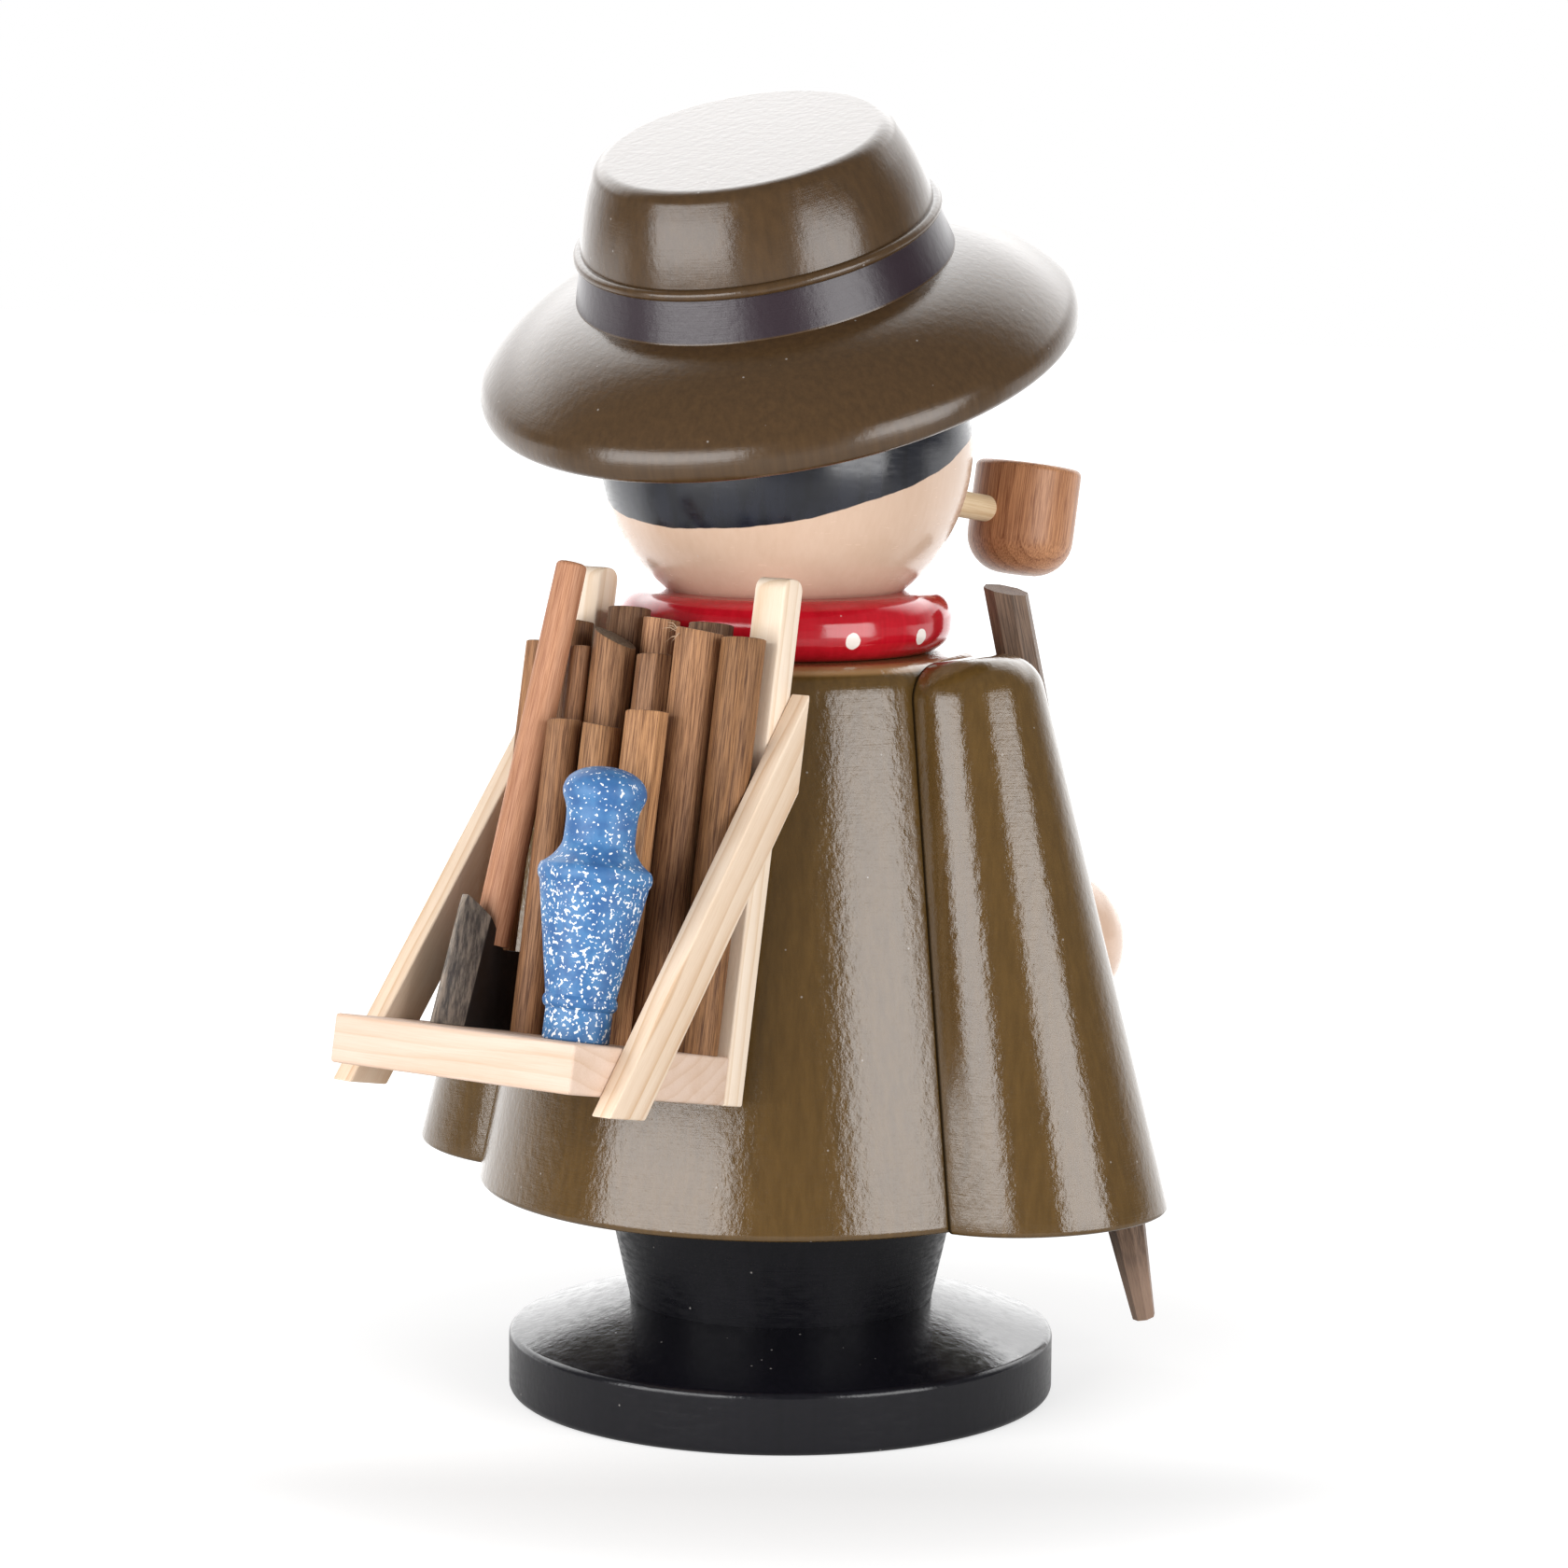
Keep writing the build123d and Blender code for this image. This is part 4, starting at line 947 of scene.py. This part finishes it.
feed(iron_surface.inputs["Roughness"], spread(iron_tree, iron_wear, 0.3, 0.7, 0.38, 0.6))
feed(iron_surface.inputs["Normal"], bump(iron_tree, iron_wear, 0.03))
AXE_BEARD = (-11.959, 13.5)
axe_outline = [(EDGE_FOOT, 0.0), (-11.374, 12.285), AXE_BEARD]
axe_outline += arc_points(AXE_BEARD, (-14.767, 11.07), (-17.107, 8.2), 10)
axe_outline += [(-20.5, 8.2), (-20.5, 0.0)]
bm = bmesh.new()
extruded(bm, [(AXE_MIDDLE - AXE_WIDTH / 2, x, y + SHELF_TOP) for x, y in axe_outline], (AXE_WIDTH, 0, 0))
for side in (-1, 1):
    facing = Vector((side * EDGE_WIDTH, 1.7 * EDGE_LINE[0], 1.7 * EDGE_LINE[1])).normalized()
    sliced(bm, (AXE_MIDDLE + side * 0.2, EDGE_FOOT, SHELF_TOP), facing)
broken(bm, 0.14, 2)
axe_blade = mesh_piece("axe_blade", bm, [iron_paint], frame_place, 30.0)
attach(axe_blade, "figure")
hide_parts("axe_head")

# Bottle: a solid turned flask in blue paint, speckled white like enamelled tin.
# It is glued on the shelf in front of the sticks.
BOTTLE_RADIUS = 5.8
BOTTLE_HEIGHT = 27.7
bottle_place = frame_place @ Matrix.Translation((-8.05, -9.7, SHELF_TOP))
blue_paint, blue_tree, blue_surface = shader("blue_speckled_paint")
blue_axes = own_axes(blue_tree, bottle_place)
speck_fine = grain_of(blue_tree, blue_axes, (2.6, 2.6, 2.6), detail=1.5, roughness=0.5)
speck_size = grain_of(blue_tree, blue_axes, (0.5, 0.5, 0.5), detail=2.0)
neck_share = spread(blue_tree, blue_axes[2], 15.5, 18.0, 0.0, 0.05)
speck_line = calc(blue_tree, "SUBTRACT", 0.66, calc(blue_tree, "MULTIPLY", speck_size, 0.12))
speck_line = calc(blue_tree, "ADD", speck_line, neck_share)
speck_share = spread(blue_tree, calc(blue_tree, "SUBTRACT", speck_fine, speck_line), -0.01, 0.03)
blue_soft = mixed(blue_tree, spread(blue_tree, speck_size, 0.3, 0.7), tone(46, 94, 148), tone(66, 120, 170))
blue_specked = mixed(blue_tree, speck_share, blue_soft, tone(236, 238, 240))
feed(blue_surface.inputs["Base Color"], blue_specked)
blue_surface.inputs["Roughness"].default_value = 0.5
feed(blue_surface.inputs["Normal"], bump(blue_tree, speck_fine, 0.05))


def flask(radius_share, height_share):
    """Point of the flask's outline."""
    return Vector((radius_share * BOTTLE_RADIUS, height_share * BOTTLE_HEIGHT))


bottle_outline = rounded([(0, 0, 0), (*flask(0.585, 0), 0.25), (*flask(0.585, 0.115), 0)])
bottle_outline += arc_points(flask(0.585, 0.115), flask(0.655, 0.139), flask(0.62, 0.164), 8)
bottle_outline += [flask(0.63, 0.18), flask(0.94, 0.556), flask(0.95, 0.572)]
bottle_outline += arc_points(flask(0.95, 0.572), flask(1, 0.602), flask(0.955, 0.634), 12)
bottle_outline += arc_points(flask(0.955, 0.634), flask(0.735, 0.674), flask(0.635, 0.712), 12)
bulb = [flask(*shares) for shares in (
    (0.635, 0.712), (0.622, 0.735), (0.62, 0.8), (0.632, 0.835), (0.672, 0.862), (0.715, 0.884),
    (0.73, 0.905), (0.71, 0.928), (0.655, 0.95), (0.57, 0.967), (0.43, 0.984), (0.25, 0.995), (0.1, 0.999),
    (0, 1),
)]
for p, q, r, w in zip([bulb[0]] + bulb, bulb, bulb[1:], bulb[2:] + [bulb[-1]]):
    for t in (0.25, 0.5, 0.75, 1.0):
        bow = (2 * p - 5 * q + 4 * r - w) * t ** 2 + (3 * q - p - 3 * r + w) * t ** 3
        bottle_outline.append((2 * q + (r - p) * t + bow) / 2)
bottle_outline[-1] = Vector((0, BOTTLE_HEIGHT))
bottle = turned("speckled_flask", bottle_outline, blue_paint, bottle_place, steps=96)
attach(bottle, "figure")
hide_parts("bottle")

# The rest is the studio: floor, world, two soft boxes and the camera.
FLOOR_SIZE = 3000.0
VIEW_TURN = math.radians(33.669)
towards_camera = Vector((-math.sin(VIEW_TURN), math.cos(VIEW_TURN), 0))
image_right = Vector((-math.cos(VIEW_TURN), -math.sin(VIEW_TURN), 0))

bm = bmesh.new()
bmesh.ops.create_grid(bm, x_segments=1, y_segments=1, size=FLOOR_SIZE)
floor_material, floor_tree = shader("studio_floor")[:2]
floor_tree.nodes.clear()
floor_out = floor_tree.nodes.new("ShaderNodeOutputMaterial")
floor_paint = floor_tree.nodes.new("ShaderNodeBsdfDiffuse")
floor_paint.inputs["Color"].default_value = (0.62, 0.62, 0.62, 1)
floor_glow = floor_tree.nodes.new("ShaderNodeEmission")
floor_spot = floor_tree.nodes.new("ShaderNodeTexCoord").outputs["Object"]
floor_ahead = along(floor_tree, floor_spot, towards_camera)
floor_away = span(floor_tree, floor_ahead, along(floor_tree, floor_spot, image_right))
floor_path = floor_tree.nodes.new("ShaderNodeLightPath")
mirror_light = spread(floor_tree, floor_ahead, -0.12, 0.0, 1.5, 0.15)
# Painted shadow: the floor's glow for the camera is lowered in a soft patch on the camera's side, close to
# the object.
floor_painted_shadow = calc(floor_tree, "MULTIPLY", spread(floor_tree, floor_ahead, 0.02, 0.045, 0.0, 0.22),
                   spread(floor_tree, floor_away, 0.06, 0.11, 1.0, 0.0))
# The floor's glow rises from 0.58 near the object to 1 far off, less the painted shadow patch in front.
floor_white_with_painted_shadow = calc(floor_tree, "SUBTRACT", spread(floor_tree, floor_away, 0.05, 0.13, 0.58, 1.0), floor_painted_shadow)
feed(floor_glow.inputs["Strength"], calc(
    floor_tree, "ADD",
    calc(floor_tree, "MULTIPLY", floor_path.outputs["Is Camera Ray"], floor_white_with_painted_shadow),
    calc(floor_tree, "MULTIPLY", floor_path.outputs["Is Glossy Ray"], mirror_light)))
floor_sum = floor_tree.nodes.new("ShaderNodeAddShader")
feed(floor_sum.inputs[0], floor_paint.outputs[0])
feed(floor_sum.inputs[1], floor_glow.outputs[0])
feed(floor_out.inputs["Surface"], floor_sum.outputs[0])
floor = mesh_piece("floor", bm, [floor_material])

world = bpy.data.worlds.new("studio")
bpy.context.scene.world = world
world.use_nodes = True
sky = world.node_tree
sky_light = sky.nodes["Background"]
sky_path = sky.nodes.new("ShaderNodeLightPath")
sky_spot = sky.nodes.new("ShaderNodeTexCoord").outputs["Generated"]
sky_ahead = along(sky, sky_spot, towards_camera)
sky_rise = along(sky, sky_spot, (0, 0, 1))
sky_high = calc(sky, "MULTIPLY",
                spread(sky, sky_rise, 0.3, 0.5),
                spread(sky, sky_ahead, -0.5, -0.1, 2.3, 0.0))
sky_mirror = calc(sky, "ADD", spread(sky, sky_ahead, -0.9, -0.2, 2.4, 0.2), sky_high)
sky_plain = spread(sky, sky_ahead, -0.6, 0.6, 0.66, 0.36)
sky_plain = calc(sky, "MULTIPLY", sky_path.outputs["Is Diffuse Ray"], sky_plain)
sky_shown = calc(sky, "MAXIMUM", sky_path.outputs["Is Camera Ray"],
                 calc(sky, "MULTIPLY", sky_path.outputs["Is Glossy Ray"], sky_mirror))
feed(sky_light.inputs["Strength"], calc(sky, "MAXIMUM", sky_plain, sky_shown))
sky_light.inputs["Color"].default_value = (1, 1, 1, 1)

LAMP_DISTANCE = 0.35
LAMP_HEIGHT = 0.19
LAMP_MIDDLE = 0.112
LAMP_STRENGTH = 6.0
for name, azimuth, wide in (("right_box", 44.0, 36.0), ("left_box", -43.5, 51.0)):
    turn = math.radians(azimuth)
    direction = towards_camera * math.cos(turn) + image_right * math.sin(turn)
    lamp = bpy.data.lights.new(name, "AREA")
    lamp.shape = "RECTANGLE"
    lamp.size = 2 * LAMP_DISTANCE * math.tan(math.radians(wide / 2))
    lamp.size_y = LAMP_HEIGHT
    lamp.energy = LAMP_STRENGTH * math.pi * lamp.size * lamp.size_y
    box = bpy.data.objects.new(name, lamp)
    spot = direction * LAMP_DISTANCE + Vector((0, 0, LAMP_MIDDLE))
    box.matrix_world = Matrix.Translation(spot) @ direction.to_track_quat("Z", "Y").to_matrix().to_4x4()
    bpy.context.collection.objects.link(box)

CAMERA_DISTANCE = 0.50603
CAMERA_HEIGHT = 0.132554
CAMERA_DIP = math.radians(-7.369)
CAMERA_ROLL = math.radians(0.3736)
camera = bpy.data.cameras.new("camera")
camera.lens = 107.41
camera.sensor_width = 36.0
camera_object = bpy.data.objects.new("camera", camera)
bpy.context.collection.objects.link(camera_object)
camera_object.matrix_world = (
    Matrix.Translation(towards_camera * CAMERA_DISTANCE + Vector((0, 0, CAMERA_HEIGHT)))
    @ along_axes(image_right, Vector((0, 0, 1)), towards_camera)
    @ Matrix.Rotation(CAMERA_DIP, 4, "X")
    @ Matrix.Rotation(CAMERA_ROLL, 4, "Z")
)
bpy.context.scene.camera = camera_object
bpy.context.scene.view_settings.view_transform = "Standard"
